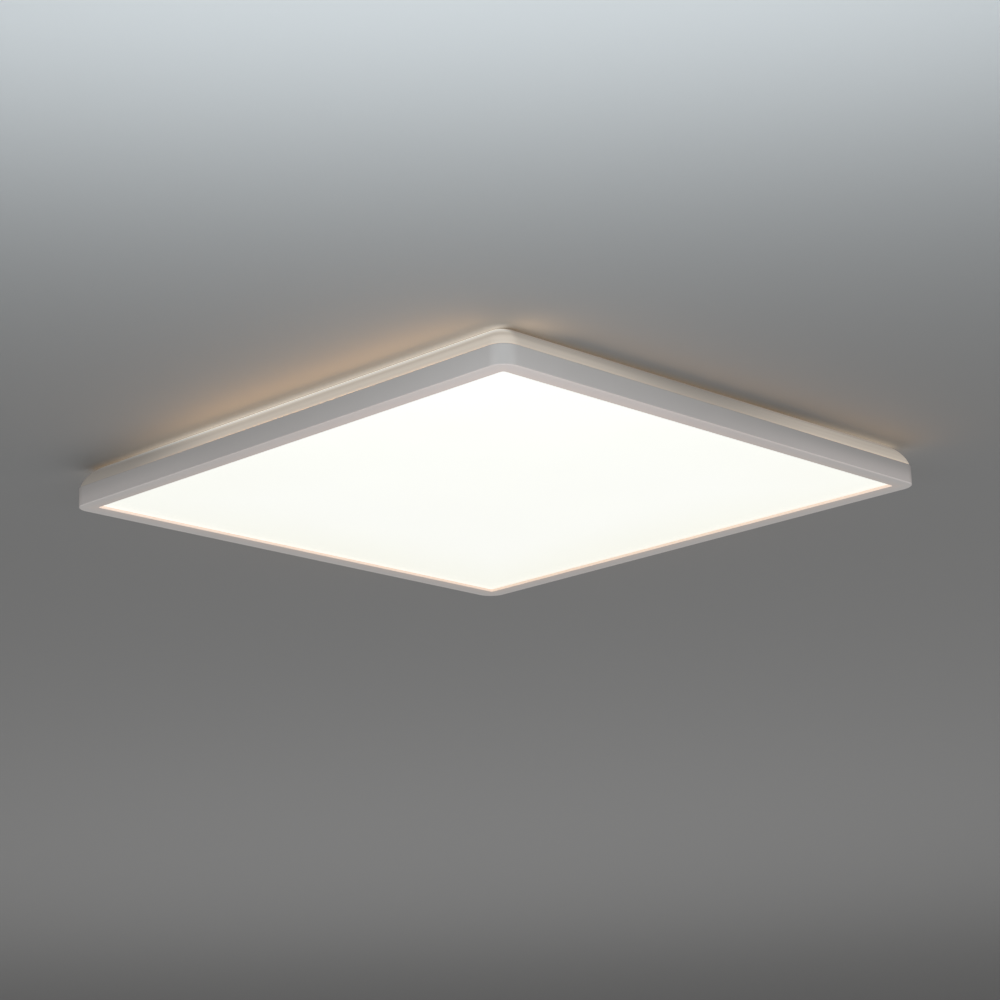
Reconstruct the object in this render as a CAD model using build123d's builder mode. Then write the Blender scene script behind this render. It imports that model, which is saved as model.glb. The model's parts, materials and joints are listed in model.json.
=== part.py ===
from build123d import *
from math import sqrt
import os

os.makedirs("parts", exist_ok=True)

# Whole lamp: the ceiling is z = 0, the lit face looks down
lamp_side = 420.0
lamp_depth = 28.6
corner_radius = 12.8

# Bezel frame
frame_depth = 13.7
frame_wall = 2.0
lip_width = 13.1
lip_thickness = 2.2
lip_corner_radius = 2.0
frame_edge_radius = 0.5
frame_top_radius = 0.5

# Snap beads of the frame, which click into windows of the shell's skirt
bead_length = 14.0
bead_height = 1.2
bead_reach = 1.1
bead_end_gap = 88.0
beads_per_side = 3
bead_clearance = 0.3

# Rear shell with its convex flank
ceiling_gap = 0.6
shell_wall = 2.0
rim_inset = 0.6
back_inset = 12.4
back_corner_radius = 8.4
flank_radius = 22.0
flank_sections = 5
skirt_wall = 1.8
skirt_root = 1.6
skirt_clearance = 0.3
skirt_rail_gap = 0.4

# Light stack, from the lip upwards
diffuser_thickness = 2.0
diffuser_clearance = 0.5
guide_thickness = 3.0
guide_corner_cut = 9.0
reflector_thickness = 0.5
plate_thickness = 1.0

# LED rails, strips and LEDs
rail_clearance = 0.8
rail_wall = 1.2
rail_foot = 14.0
rail_setback = 6.0
rail_screw_end_gap = 38.0
rail_screws_per_side = 3
strip_thickness = 1.0
strip_corner_gap = 11.5
strip_gap = 0.2
led_length = 4.0
led_height = 1.4
led_thickness = 0.8
led_end_gap = 12.0
leds_per_strip = 36
led_air_gap = 0.4
jumper_radius = 0.8

# Posts of the shell and their foam pads on the back plate
post_radius = 3.5
post_inset = 45.0
press_pad_thickness = 1.0

# Foam pads between the shell and the ceiling
ceiling_pad_side = 16.0
ceiling_pad_radius = 3.0
ceiling_pad_inset = 38.0

# Ceiling bracket, bent from sheet steel
bracket_length = 140.0
bracket_width = 52.0
bracket_sheet = 1.5
bracket_corner_radius = 5.0
hook_length = 14.0
hook_end_gap = 7.0
hook_drop = 4.5
hook_reach = 10.0
hook_bend_radius = 2.4
hook_root = 6.0
hook_tip_radius = 3.0
cable_hole_radius = 12.0
screw_slot_spacing = 88.0
screw_slot_width = 4.5
screw_slot_length = 12.0

# Recess in the shell's back, with ledges that rest on the bracket's hooks
ledge_length = 16.0
ledge_thickness = 2.0
ledge_clearance = 0.1
ledge_web_gap = 2.0
release_margin = 1.5
recess_end_gap = 0.5
recess_side_gap = 2.0
recess_floor_gap = 1.5
recess_corner_radius = 4.0

# Terminal bay beside the recess, and its hinged lid
bay_width = 66.0
bay_length = 46.0
bay_floor_gap = 0.6
bay_corner_radius = 3.0
lid_seat = 1.0
lid_gap = 0.3
lid_front_gap = 2.0
lid_notch_radius = 9.0
lid_notch_depth = 4.0
barrel_radius = 1.9
barrel_length = 48.0
barrel_end_gap = 0.4
barrel_slab_gap = 0.6
hinge_swing_gap = 1.2
hinge_pin_radius = 1.0
hinge_pin_end_gap = 1.0
hinge_pin_seat_clearance = 0.02
hinge_pin_clearance = 0.05

# Terminal block with two poles
block_width = 26.0
block_length = 18.0
block_height = 11.0
block_edge_radius = 0.6
block_back_gap = 10.0
pole_spacing = 12.0
chamber_width = 8.0
chamber_height = 6.3
chamber_floor = 1.5
chamber_front = 2.0
chamber_rear = 4.0
wire_entry_radius = 1.5
block_ear_width = 8.0
block_ear_length = 8.0
block_ear_thickness = 3.0
block_post_height = 5.0
block_post_radius = 3.2
contact_thickness = 1.0
contact_width = 5.0
contact_setback = 2.0
contact_top_gap = 1.8
spring_thickness = 0.4
spring_width = 4.0
spring_rise = 1.6
spring_run = 4.0
spring_bend_radius = 1.2

# Release buttons
button_width = 5.0
button_length = 4.0
button_setback = 5.0
button_proud = 1.8
button_clearance = 0.25
button_edge_radius = 0.4
button_foot_width = 7.0
button_foot_length = 5.4
button_foot_thickness = 1.0
button_stop_gap = 0.1

# Small screws
screw_head_radius = 2.5
screw_head_height = 1.6
screw_shank_radius = 1.15
screw_hole_clearance = 0.15
screw_pilot_clearance = 0.05
screw_bite = 4.0

# Slim driver on the back plate
driver_length = 112.0
driver_width = 46.0
driver_roof_gap = 2.3
driver_gap = 12.0
driver_base_thickness = 1.5
driver_ear = 10.0
driver_cover_wall = 1.2
driver_edge_radius = 1.0
standoff_height = 3.0
standoff_radius = 2.5
board_margin = 2.0
board_thickness = 1.2
standoff_inset = 5.0
component_gap = 0.7
core_width = 20.0
core_length = 24.0
core_limb = 4.0
core_limb_drop = 1.6
winding_gap = 0.3
capacitor_length = 17.0
capacitor_spacing = 9.0
capacitor_count = 2
capacitor_inset = 14.8
choke_radius = 5.0
choke_bore_radius = 1.8
chip_height = 1.8
chip_side = 7.4
chip_spacing = 14.8
connector_width = 9.0
connector_length = 6.0
connector_inset = 1.0

# Leads and their clips
lead_radius = 1.1
lead_spacing = 2.9
lead_clearance = 0.1
lead_height = 4.3
mains_inset = 9.0
mains_clip_width = 11.0
mains_clip_length = 6.0
mains_clip_roof = 2.0
mains_clip_place = 24.0
grommet_width = 7.4
grommet_height = 5.6
grommet_flange = 1.0
grommet_flange_thickness = 1.0
dc_lead_radius = 0.9
dc_lead_spacing = 3.1
dc_lead_rest = 0.15
dc_clip_width = 9.0
dc_clip_length = 6.0
dc_clip_roof = 1.0
dc_clip_inset = 54.3
dc_edge_gap = 0.3
dc_corner_gap = 2.8
dc_corner_rise = 0.3
dc_end_run = 5.0
dc_bends = [6.0, 6.0, 4.0, 2.0, 2.0, 2.0]

# Levels, from the ceiling down to the lip and up through the light stack
shell_back = -ceiling_gap
shell_roof = shell_back - shell_wall
frame_bottom = -lamp_depth
frame_top = frame_bottom + frame_depth
lip_top = frame_bottom + lip_thickness
diffuser_top = lip_top + diffuser_thickness
guide_top = diffuser_top + guide_thickness
reflector_top = guide_top + reflector_thickness
plate_top = reflector_top + plate_thickness
rail_top = plate_top + rail_wall
skirt_bottom = rail_top + skirt_rail_gap
skirt_depth = frame_top - skirt_bottom
bead_level = frame_top - skirt_depth / 2

# Widths, from the frame wall inwards
frame_inner = lamp_side - 2 * frame_wall
frame_inner_radius = corner_radius - frame_wall
window_side = lamp_side - 2 * lip_width
skirt_side = frame_inner - 2 * skirt_clearance
skirt_radius = frame_inner_radius - skirt_clearance
rail_outer = frame_inner / 2 - rail_clearance
rail_inner = rail_outer - rail_wall
strip_inner = rail_inner - strip_thickness
strip_line = rail_inner - strip_thickness / 2
led_inner = strip_inner - led_thickness
guide_side = 2 * (led_inner - led_air_gap)
strip_height = plate_top - diffuser_top - 2 * strip_gap
strip_level = diffuser_top + strip_gap + strip_height / 2
strip_end = strip_line - strip_corner_gap
led_level = diffuser_top + guide_thickness / 2
rail_end = strip_end - rail_setback
bead_spacing = (frame_inner - 2 * bead_end_gap) / (beads_per_side - 1)
rail_screw_spacing = 2 * (rail_end - rail_screw_end_gap) / (rail_screws_per_side - 1)
led_spacing = 2 * (strip_end - led_end_gap) / (leds_per_strip - 1)
post_far = lamp_side / 2 - post_inset
post_near = lamp_side / 4
ceiling_pad_offset = lamp_side / 2 - ceiling_pad_inset
sides = {"east": 0, "north": 90, "west": 180, "south": 270}

# Recess and bay of the shell
hook_spacing = bracket_length - hook_length - 2 * hook_end_gap
slide_travel = (hook_length + ledge_length) / 2 + release_margin
recess_half_width = bracket_width / 2 + hook_reach + recess_side_gap
recess_floor = -(hook_drop + bracket_sheet + recess_floor_gap)
recess_left = -(bracket_length / 2 + slide_travel + recess_end_gap)
recess_right = bracket_length / 2 + recess_end_gap
recess_length = recess_right - recess_left
recess_middle = (recess_right + recess_left) / 2
bay_start = recess_half_width
bay_end = bay_start + bay_length
bay_floor = plate_top + bay_floor_gap + shell_wall
lid_thickness = shell_wall
lid_front = bay_start + lid_front_gap
hinge_y = bay_end - hinge_swing_gap - barrel_radius
hinge_z = shell_back - barrel_radius
lid_slab_end = hinge_y - barrel_radius - barrel_slab_gap

# Terminal block inside the bay
block_rear = bay_end - block_back_gap
block_front = block_rear - block_length
block_middle = (block_front + block_rear) / 2
block_top = bay_floor + block_height
chamber_bottom = bay_floor + chamber_floor
chamber_top = chamber_bottom + chamber_height
chamber_start = block_front + chamber_front
chamber_end = block_rear - chamber_rear
ear_top = bay_floor + block_post_height + block_ear_thickness
ear_x = (block_width + block_ear_width) / 2
button_y = block_front + button_setback
poles = (-pole_spacing / 2, pole_spacing / 2)

# Driver and leads
driver_y = -(recess_half_width + shell_wall + driver_gap + driver_width / 2)
driver_base_top = plate_top + driver_base_thickness
driver_top = shell_roof - driver_roof_gap
board_top = driver_base_top + standoff_height + board_thickness
board_length = driver_length - 2 * (driver_cover_wall + board_margin)
board_width = driver_width - 2 * (driver_cover_wall + board_margin)
board_edge_y = driver_y + board_width / 2
component_height = driver_top - driver_cover_wall - component_gap - board_top
capacitor_radius = component_height / 2
capacitor_x = capacitor_inset - board_length / 2
capacitor_end = capacitor_x + (capacitor_count - 1) * capacitor_spacing / 2 + capacitor_radius
chip_x = (capacitor_end - core_width / 2) / 2
mains_run = driver_length / 2 - mains_inset
choke_x = (core_width / 2 + mains_run - connector_width / 2) / 2
lead_level = bay_floor + lead_height
lead_corridor = (block_rear + bay_end) / 2
lead_bore = lead_radius + lead_clearance
dc_lead_bore = dc_lead_radius + lead_clearance
dc_lead_y = driver_y - board_width / 4
dc_lead_floor = plate_top + dc_lead_radius + dc_lead_rest


# Half the shell's width at a level, on the flank's arc or on one set inwards from it
def flank_half(level, inward):
    rim_x = lamp_side / 2 - rim_inset
    back_x = lamp_side / 2 - back_inset
    chord_x = back_x - rim_x
    chord_z = shell_back - frame_top
    chord = sqrt(chord_x**2 + chord_z**2)
    depth = sqrt(flank_radius**2 - (chord / 2) ** 2)
    centre_x = (rim_x + back_x) / 2 - depth * chord_z / chord
    centre_z = (frame_top + shell_back) / 2 + depth * chord_x / chord
    return centre_x + sqrt((flank_radius - inward) ** 2 - (level - centre_z) ** 2)


# Corner radius of the shell in plan, which tightens from the rim to the back
def flank_corner(level):
    rim_radius = corner_radius - rim_inset
    share = (level - frame_top) / (shell_back - frame_top)
    return rim_radius + (back_corner_radius - rim_radius) * share


# Evenly spaced levels of the flank, from the rim up to a given level
def flank_levels(top):
    step = (top - frame_top) / (flank_sections - 1)
    return [frame_top + step * count for count in range(flank_sections)]


# Block between two corners, added to or cut from the part being built
def block(x_span, y_span, z_span, mode=Mode.ADD):
    spans = (x_span, y_span, z_span)
    middle = tuple((low + high) / 2 for low, high in spans)
    size = tuple(high - low for low, high in spans)
    with Locations(middle):
        Box(*size, mode=mode)


# Upright round bar between two levels at a place in plan
def upright(place, radius, z_span, mode=Mode.ADD):
    low, high = z_span
    with Locations((*place, (low + high) / 2)):
        Cylinder(radius, high - low, mode=mode)


# Round bar along X or Y through a point
def level_bar(middle, radius, length, turn, mode=Mode.ADD):
    with Locations(middle):
        Cylinder(radius, length, rotation=turn, mode=mode)


along_x = (0, 90, 0)
along_y = (90, 0, 0)


# Insulated lead along a filleted route
def lead(points, bends, radius):
    with BuildPart() as wire:
        with BuildLine() as route:
            FilletPolyline(*points, radius=bends)
        with BuildSketch(Plane(origin=route.line @ 0, z_dir=route.line % 0)):
            Circle(radius)
        sweep()
    return wire.part


# Square sheet of the light stack with its corners cut off for the wiring
def stack_sheet(bottom, thickness):
    with BuildPart() as sheet:
        with BuildSketch(Plane.XY.offset(bottom)) as outline:
            Rectangle(guide_side, guide_side)
            chamfer(outline.vertices(), guide_corner_cut)
        extrude(amount=thickness)
    return sheet.part


def save(part, name):
    part.label = name
    export_step(part, f"parts/{name}.step")


# Bezel frame: wall and lip in one moulding, with snap beads inside
with BuildPart() as bezel_frame:
    with BuildSketch(Plane.XY.offset(frame_bottom)):
        RectangleRounded(lamp_side, lamp_side, corner_radius)
    extrude(amount=frame_depth)
    fillet(bezel_frame.faces().sort_by(Axis.Z)[0].edges(), frame_edge_radius)
    fillet(bezel_frame.faces().sort_by(Axis.Z)[-1].edges(), frame_top_radius)
    with BuildSketch(Plane.XY.offset(lip_top)):
        RectangleRounded(frame_inner, frame_inner, frame_inner_radius)
    extrude(amount=frame_depth - lip_thickness, mode=Mode.SUBTRACT)
    with BuildSketch(Plane.XY.offset(frame_bottom)):
        RectangleRounded(window_side, window_side, lip_corner_radius)
    extrude(amount=lip_thickness, mode=Mode.SUBTRACT)
    with Locations((0, 0, bead_level)):
        with PolarLocations((frame_inner - bead_reach) / 2, 4):
            with GridLocations(0, bead_spacing, 1, beads_per_side):
                Box(bead_reach, bead_length, bead_height)
save(bezel_frame.part, "bezel_frame")

# Diffuser, lying on the lip
with BuildPart() as diffuser:
    diffuser_side = frame_inner - 2 * diffuser_clearance
    with BuildSketch(Plane.XY.offset(lip_top)):
        RectangleRounded(diffuser_side, diffuser_side, frame_inner_radius - diffuser_clearance)
    extrude(amount=diffuser_thickness)
save(diffuser.part, "diffuser")

# Light guide and reflector above the diffuser
save(stack_sheet(diffuser_top, guide_thickness), "light_guide")
save(stack_sheet(guide_top, reflector_thickness), "reflector_sheet")

# Screw places along one rail, and the two driver screws, in plan
rail_screw_x = rail_outer - rail_wall - (rail_foot - rail_wall) / 2
screw_hole_radius = screw_shank_radius + screw_hole_clearance
driver_screws_x = (driver_length + driver_ear) / 2

# Back plate, which carries the rails and the driver
with BuildPart() as back_plate:
    add(stack_sheet(reflector_top, plate_thickness))
    with Locations((0, 0, plate_top)):
        with PolarLocations(rail_screw_x, 4):
            with GridLocations(0, rail_screw_spacing, 1, rail_screws_per_side):
                Hole(screw_hole_radius, plate_thickness)
    with Locations((0, driver_y, plate_top)):
        with GridLocations(2 * driver_screws_x, 0, 2, 1):
            Hole(screw_hole_radius, plate_thickness)
save(back_plate.part, "back_plate")

# Each side has an angle rail, a strip on its inner face and a row of LEDs
for side, turn in sides.items():
    facing = Location((0, 0, 0), (0, 0, turn))

    with BuildPart() as led_rail:
        with Locations(facing):
            rail_ends = (-rail_end, rail_end)
            block((rail_inner, rail_outer), rail_ends, (diffuser_top, rail_top))
            block((rail_outer - rail_foot, rail_inner), rail_ends, (plate_top, rail_top))
            with Locations((rail_screw_x, 0, rail_top)):
                with GridLocations(0, rail_screw_spacing, 1, rail_screws_per_side):
                    Hole(screw_hole_radius, rail_wall)
    save(led_rail.part, f"led_rail_{side}")

    with BuildPart() as led_strip:
        with Locations(facing):
            strip_low = diffuser_top + strip_gap
            strip_ends = (-strip_end, strip_end)
            block((strip_inner, rail_inner), strip_ends, (strip_low, strip_low + strip_height))
    save(led_strip.part, f"led_strip_{side}")

    with BuildPart() as leds:
        with Locations(facing):
            with Locations((led_inner + led_thickness / 2, 0, led_level)):
                with GridLocations(0, led_spacing, 1, leds_per_strip):
                    Box(led_thickness, led_length, led_height)
    save(leds.part, f"leds_{side}")

# Jumpers that link the strips at three corners
with BuildPart() as corner_jumpers:
    jumper_bend = strip_line - (frame_inner / 2 - frame_inner_radius)
    for heading in ((1, 0, 0), (0, 1, 0), (-1, 0, 0)):
        corner_plane = Plane(origin=(0, 0, strip_level), x_dir=heading, z_dir=(0, 0, 1))
        with BuildLine(corner_plane) as jumper_route:
            jumper_points = [(strip_line, strip_end), (strip_line, strip_line), (strip_end, strip_line)]
            FilletPolyline(*jumper_points, radius=jumper_bend)
        with BuildSketch(Plane(origin=jumper_route.line @ 0, z_dir=jumper_route.line % 0)):
            Circle(jumper_radius)
        sweep()
save(corner_jumpers.part, "corner_jumpers")

# Screws that hold the rails to the back plate
with BuildPart() as rail_screws:
    with PolarLocations(rail_screw_x, 4):
        with GridLocations(0, rail_screw_spacing, 1, rail_screws_per_side):
            upright((0, 0), screw_head_radius, (rail_top, rail_top + screw_head_height))
            upright((0, 0), screw_shank_radius, (reflector_top, rail_top))
save(rail_screws.part, "rail_screws")

# Rear shell: flank, back, skirt, bracket recess, terminal bay and posts
post_places = [(x, y) for x in (-post_far, post_far) for y in (-post_near, post_near)]
post_places += [(x, y) for x in (-post_near, post_near) for y in (-post_far, post_far)]
post_bottom = plate_top + press_pad_thickness
bay_half = bay_width / 2
ledge_low = ledge_clearance - hook_drop
ledge_inner = bracket_width / 2 + ledge_web_gap

with BuildPart() as rear_shell:
    for level in flank_levels(shell_back):
        with BuildSketch(Plane.XY.offset(level)):
            flank_side = 2 * flank_half(level, 0)
            RectangleRounded(flank_side, flank_side, flank_corner(level))
    loft()
    for level in flank_levels(shell_roof):
        with BuildSketch(Plane.XY.offset(level)):
            hollow_side = 2 * flank_half(level, shell_wall)
            RectangleRounded(hollow_side, hollow_side, flank_corner(level) - shell_wall)
    loft(mode=Mode.SUBTRACT)
    # The skirt's wall runs on a little way up inside the flank, to be well rooted in it
    with BuildSketch(Plane.XY.offset(skirt_bottom)):
        skirt_hollow = skirt_side - 2 * skirt_wall
        RectangleRounded(skirt_side, skirt_side, skirt_radius)
        RectangleRounded(skirt_hollow, skirt_hollow, skirt_radius - skirt_wall, mode=Mode.SUBTRACT)
    extrude(amount=skirt_depth + skirt_root)
    with Locations((0, 0, bead_level)):
        with PolarLocations(frame_inner / 2, 4):
            with GridLocations(0, bead_spacing, 1, beads_per_side):
                bead_window = (bead_length + 2 * bead_clearance, bead_height + 2 * bead_clearance)
                Box(2 * (skirt_wall + skirt_clearance), *bead_window, mode=Mode.SUBTRACT)
    for place in post_places:
        upright(place, post_radius, (post_bottom, shell_roof + shell_wall / 2))
    # Walls of the recess and the bay, then their hollows
    with BuildSketch(Plane.XY.offset(recess_floor - shell_wall)):
        with Locations((recess_middle, 0)):
            recess_outer = (recess_length + 2 * shell_wall, 2 * (recess_half_width + shell_wall))
            RectangleRounded(*recess_outer, recess_corner_radius + shell_wall)
    extrude(amount=shell_back - recess_floor + shell_wall)
    with BuildSketch(Plane.XY.offset(bay_floor - shell_wall)):
        with Locations((0, (bay_start + bay_end) / 2)):
            bay_outer = (bay_width + 2 * shell_wall, bay_length + 2 * shell_wall)
            RectangleRounded(*bay_outer, bay_corner_radius + shell_wall)
    extrude(amount=shell_back - bay_floor + shell_wall)
    with BuildSketch(Plane.XY.offset(recess_floor)):
        with Locations((recess_middle, 0)):
            RectangleRounded(recess_length, 2 * recess_half_width, recess_corner_radius)
    extrude(amount=shell_back - recess_floor, mode=Mode.SUBTRACT)
    block((-bay_half, bay_half), (bay_start, bay_end), (bay_floor, shell_back), Mode.SUBTRACT)
    lid_pocket = (-bay_half - lid_seat, bay_half + lid_seat)
    block(lid_pocket, (lid_front - lid_gap, bay_end), (shell_back - lid_thickness, shell_back), Mode.SUBTRACT)
    # Ledges that rest on the hooks
    for x in (-hook_spacing / 2, hook_spacing / 2):
        ledge_x = (x - ledge_length / 2, x + ledge_length / 2)
        ledge_outer = recess_half_width + shell_wall / 2
        block(ledge_x, (ledge_inner, ledge_outer), (ledge_low, ledge_low + ledge_thickness))
        block(ledge_x, (-ledge_outer, -ledge_inner), (ledge_low, ledge_low + ledge_thickness))
    # Hinge ears on the bay's side walls
    ear_inner = barrel_length / 2 + barrel_end_gap
    ear_outer = bay_half + shell_wall / 2
    for ear_side in (-1, 1):
        ear_middle = (ear_side * (ear_inner + ear_outer) / 2, hinge_y, hinge_z)
        level_bar(ear_middle, barrel_radius, ear_outer - ear_inner, along_x)
    hinge_pin_length = bay_width - 2 * hinge_pin_end_gap
    pin_seat_radius = hinge_pin_radius + hinge_pin_seat_clearance
    level_bar((0, hinge_y, hinge_z), pin_seat_radius, hinge_pin_length, along_x, Mode.SUBTRACT)
    # Posts for the terminal block's ears
    for x in (-ear_x, ear_x):
        post_top = bay_floor + block_post_height
        upright((x, block_middle), block_post_radius, (bay_floor, post_top))
        pilot_radius = screw_shank_radius + screw_pilot_clearance
        upright((x, block_middle), pilot_radius, (post_top - screw_bite, post_top), Mode.SUBTRACT)
    # Hole for the grommet in the bay's wall
    with BuildSketch(Plane.YZ.offset(bay_half)):
        with Locations((lead_corridor, lead_level)):
            SlotOverall(grommet_width, grommet_height)
    extrude(amount=shell_wall, mode=Mode.SUBTRACT)
save(rear_shell.part, "rear_shell")

# Foam pads under the shell's posts
with BuildPart() as press_pads:
    for place in post_places:
        upright(place, post_radius, (plate_top, post_bottom))
save(press_pads.part, "press_pads")

# Foam pads that steady the shell against the ceiling
with BuildPart() as ceiling_pads:
    with BuildSketch(Plane.XY.offset(shell_back)):
        with GridLocations(2 * ceiling_pad_offset, 2 * ceiling_pad_offset, 2, 2):
            RectangleRounded(ceiling_pad_side, ceiling_pad_side, ceiling_pad_radius)
    extrude(amount=ceiling_gap)
save(ceiling_pads.part, "ceiling_pads")

# Ceiling bracket with four hooks bent down from its long edges
with BuildPart() as ceiling_bracket:
    flat_width = bracket_width - 2 * (hook_bend_radius + bracket_sheet / 2)
    with BuildSketch():
        RectangleRounded(bracket_length, flat_width, bracket_corner_radius)
    extrude(amount=-bracket_sheet)
    for x in (-hook_spacing / 2, hook_spacing / 2):
        hook_web = (bracket_width - bracket_sheet) / 2
        hook_low = -hook_drop - bracket_sheet / 2
        hook_tip = bracket_width / 2 + hook_reach
        with BuildSketch(Plane.YZ.offset(x - hook_length / 2)):
            for edge in (-1, 1):
                with BuildLine():
                    FilletPolyline(
                        (edge * (flat_width / 2 - hook_root), -bracket_sheet / 2),
                        (edge * hook_web, -bracket_sheet / 2),
                        (edge * hook_web, hook_low),
                        (edge * hook_tip, hook_low),
                        radius=hook_bend_radius - bracket_sheet / 2,
                    )
                trace(line_width=bracket_sheet)
        extrude(amount=hook_length)
    tips = ceiling_bracket.edges().filter_by(Axis.Z).group_by(Axis.Y)
    fillet(tips[0] + tips[-1], hook_tip_radius)
    with Locations((0, 0, 0)):
        Hole(cable_hole_radius, bracket_sheet)
    with BuildSketch():
        with GridLocations(screw_slot_spacing, 0, 2, 1):
            SlotOverall(screw_slot_length, screw_slot_width)
    extrude(amount=-bracket_sheet, mode=Mode.SUBTRACT)
save(ceiling_bracket.part, "ceiling_bracket")

# Terminal lid with its hinge barrel
with BuildPart() as terminal_lid:
    lid_half = bay_half + lid_seat - lid_gap
    lid_levels = (shell_back - lid_thickness, shell_back)
    block((-lid_half, lid_half), (lid_front, lid_slab_end), lid_levels)
    block((-barrel_length / 2, barrel_length / 2), (lid_slab_end, hinge_y), lid_levels)
    level_bar((0, hinge_y, hinge_z), barrel_radius, barrel_length, along_x)
    barrel_bore = hinge_pin_radius + hinge_pin_clearance
    level_bar((0, hinge_y, hinge_z), barrel_bore, barrel_length, along_x, Mode.SUBTRACT)
    notch_y = lid_front + lid_notch_depth - lid_notch_radius
    upright((0, notch_y), lid_notch_radius, lid_levels, Mode.SUBTRACT)
save(terminal_lid.part, "terminal_lid")

# Hinge pin of the lid, held in the shell's ears
with BuildPart() as lid_hinge_pin:
    level_bar((0, hinge_y, hinge_z), hinge_pin_radius, hinge_pin_length, along_x)
save(lid_hinge_pin.part, "lid_hinge_pin")

# Terminal block body, hollow at each pole
with BuildPart() as terminal_block:
    block((-block_width / 2, block_width / 2), (block_front, block_rear), (bay_floor, block_top))
    fillet(terminal_block.edges().filter_by(Axis.Z), block_edge_radius)
    block_ear_y = (block_middle - block_ear_length / 2, block_middle + block_ear_length / 2)
    block_ear_x = block_width / 2 + block_ear_width
    block((-block_ear_x, block_ear_x), block_ear_y, (ear_top - block_ear_thickness, ear_top))
    for x in (-ear_x, ear_x):
        ear_z = (ear_top - block_ear_thickness, ear_top)
        upright((x, block_middle), screw_hole_radius, ear_z, Mode.SUBTRACT)
    for pole in poles:
        chamber_x = (pole - chamber_width / 2, pole + chamber_width / 2)
        block(chamber_x, (chamber_start, chamber_end), (chamber_bottom, chamber_top), Mode.SUBTRACT)
        well_x = button_width / 2 + button_clearance
        well_y = button_length / 2 + button_clearance
        well_span = (button_y - well_y, button_y + well_y)
        block((pole - well_x, pole + well_x), well_span, (chamber_top, block_top), Mode.SUBTRACT)
        entry = (pole, (block_front + chamber_start) / 2, lead_level)
        level_bar(entry, wire_entry_radius, chamber_front, along_y, Mode.SUBTRACT)
        outlet = (pole, (chamber_end + block_rear) / 2, lead_level)
        level_bar(outlet, lead_bore, chamber_rear, along_y, Mode.SUBTRACT)
save(terminal_block.part, "terminal_block")

# Contact bars on the chamber floors
contact_top = chamber_bottom + contact_thickness
with BuildPart() as terminal_contacts:
    for pole in poles:
        contact_x = (pole - contact_width / 2, pole + contact_width / 2)
        block(contact_x, (chamber_start + contact_setback, chamber_end), (chamber_bottom, contact_top))
        upstand_y = (chamber_end - contact_thickness, chamber_end)
        block(contact_x, upstand_y, (chamber_bottom, chamber_top - contact_top_gap))
save(terminal_contacts.part, "terminal_contacts")

# Clamp springs lying on the contact bars
with BuildPart() as clamp_springs:
    for pole in poles:
        with BuildSketch(Plane.YZ.offset(pole - spring_width / 2)):
            leaf_z = contact_top + spring_thickness / 2
            leaf_end = chamber_end - contact_thickness - spring_thickness
            leaf_knee = button_y + spring_run - spring_thickness
            with BuildLine():
                FilletPolyline(
                    (leaf_end, leaf_z),
                    (leaf_knee, leaf_z),
                    (leaf_knee - spring_run, leaf_z + spring_rise),
                    radius=spring_bend_radius,
                )
            trace(line_width=spring_thickness)
        extrude(amount=spring_width)
save(clamp_springs.part, "clamp_springs")

# Screws of the terminal block
with BuildPart() as block_screws:
    for x in (-ear_x, ear_x):
        upright((x, block_middle), screw_head_radius, (ear_top, ear_top + screw_head_height))
        shank_low = ear_top - block_ear_thickness - screw_bite
        upright((x, block_middle), screw_shank_radius, (shank_low, ear_top))
save(block_screws.part, "block_screws")

# Release buttons, each with a foot that keeps it in the block
for name, pole in zip(("neutral_button", "live_button"), poles):
    with BuildPart() as button:
        stem_x = (pole - button_width / 2, pole + button_width / 2)
        stem_y = (button_y - button_length / 2, button_y + button_length / 2)
        foot_top = chamber_top - button_stop_gap
        block(stem_x, stem_y, (foot_top, block_top + button_proud))
        fillet(button.faces().sort_by(Axis.Z)[-1].edges(), button_edge_radius)
        foot_x = (pole - button_foot_width / 2, pole + button_foot_width / 2)
        foot_y = (button_y - button_foot_length / 2, button_y + button_foot_length / 2)
        block(foot_x, foot_y, (foot_top - button_foot_thickness, foot_top))
    save(button.part, name)

# Driver base with board standoffs
with BuildPart() as driver_base:
    base_x = driver_length / 2 + driver_ear
    base_y = (driver_y - driver_width / 2, driver_y + driver_width / 2)
    block((-base_x, base_x), base_y, (plate_top, driver_base_top))
    fillet(driver_base.edges().filter_by(Axis.Z), driver_edge_radius)
    with Locations((0, driver_y, driver_base_top + standoff_height / 2)):
        with GridLocations(board_length - 2 * standoff_inset, board_width - 2 * standoff_inset, 2, 2):
            Cylinder(standoff_radius, standoff_height)
    with Locations((0, driver_y, driver_base_top)):
        with GridLocations(2 * driver_screws_x, 0, 2, 1):
            Hole(screw_hole_radius, driver_base_thickness)
save(driver_base.part, "driver_base")

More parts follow.
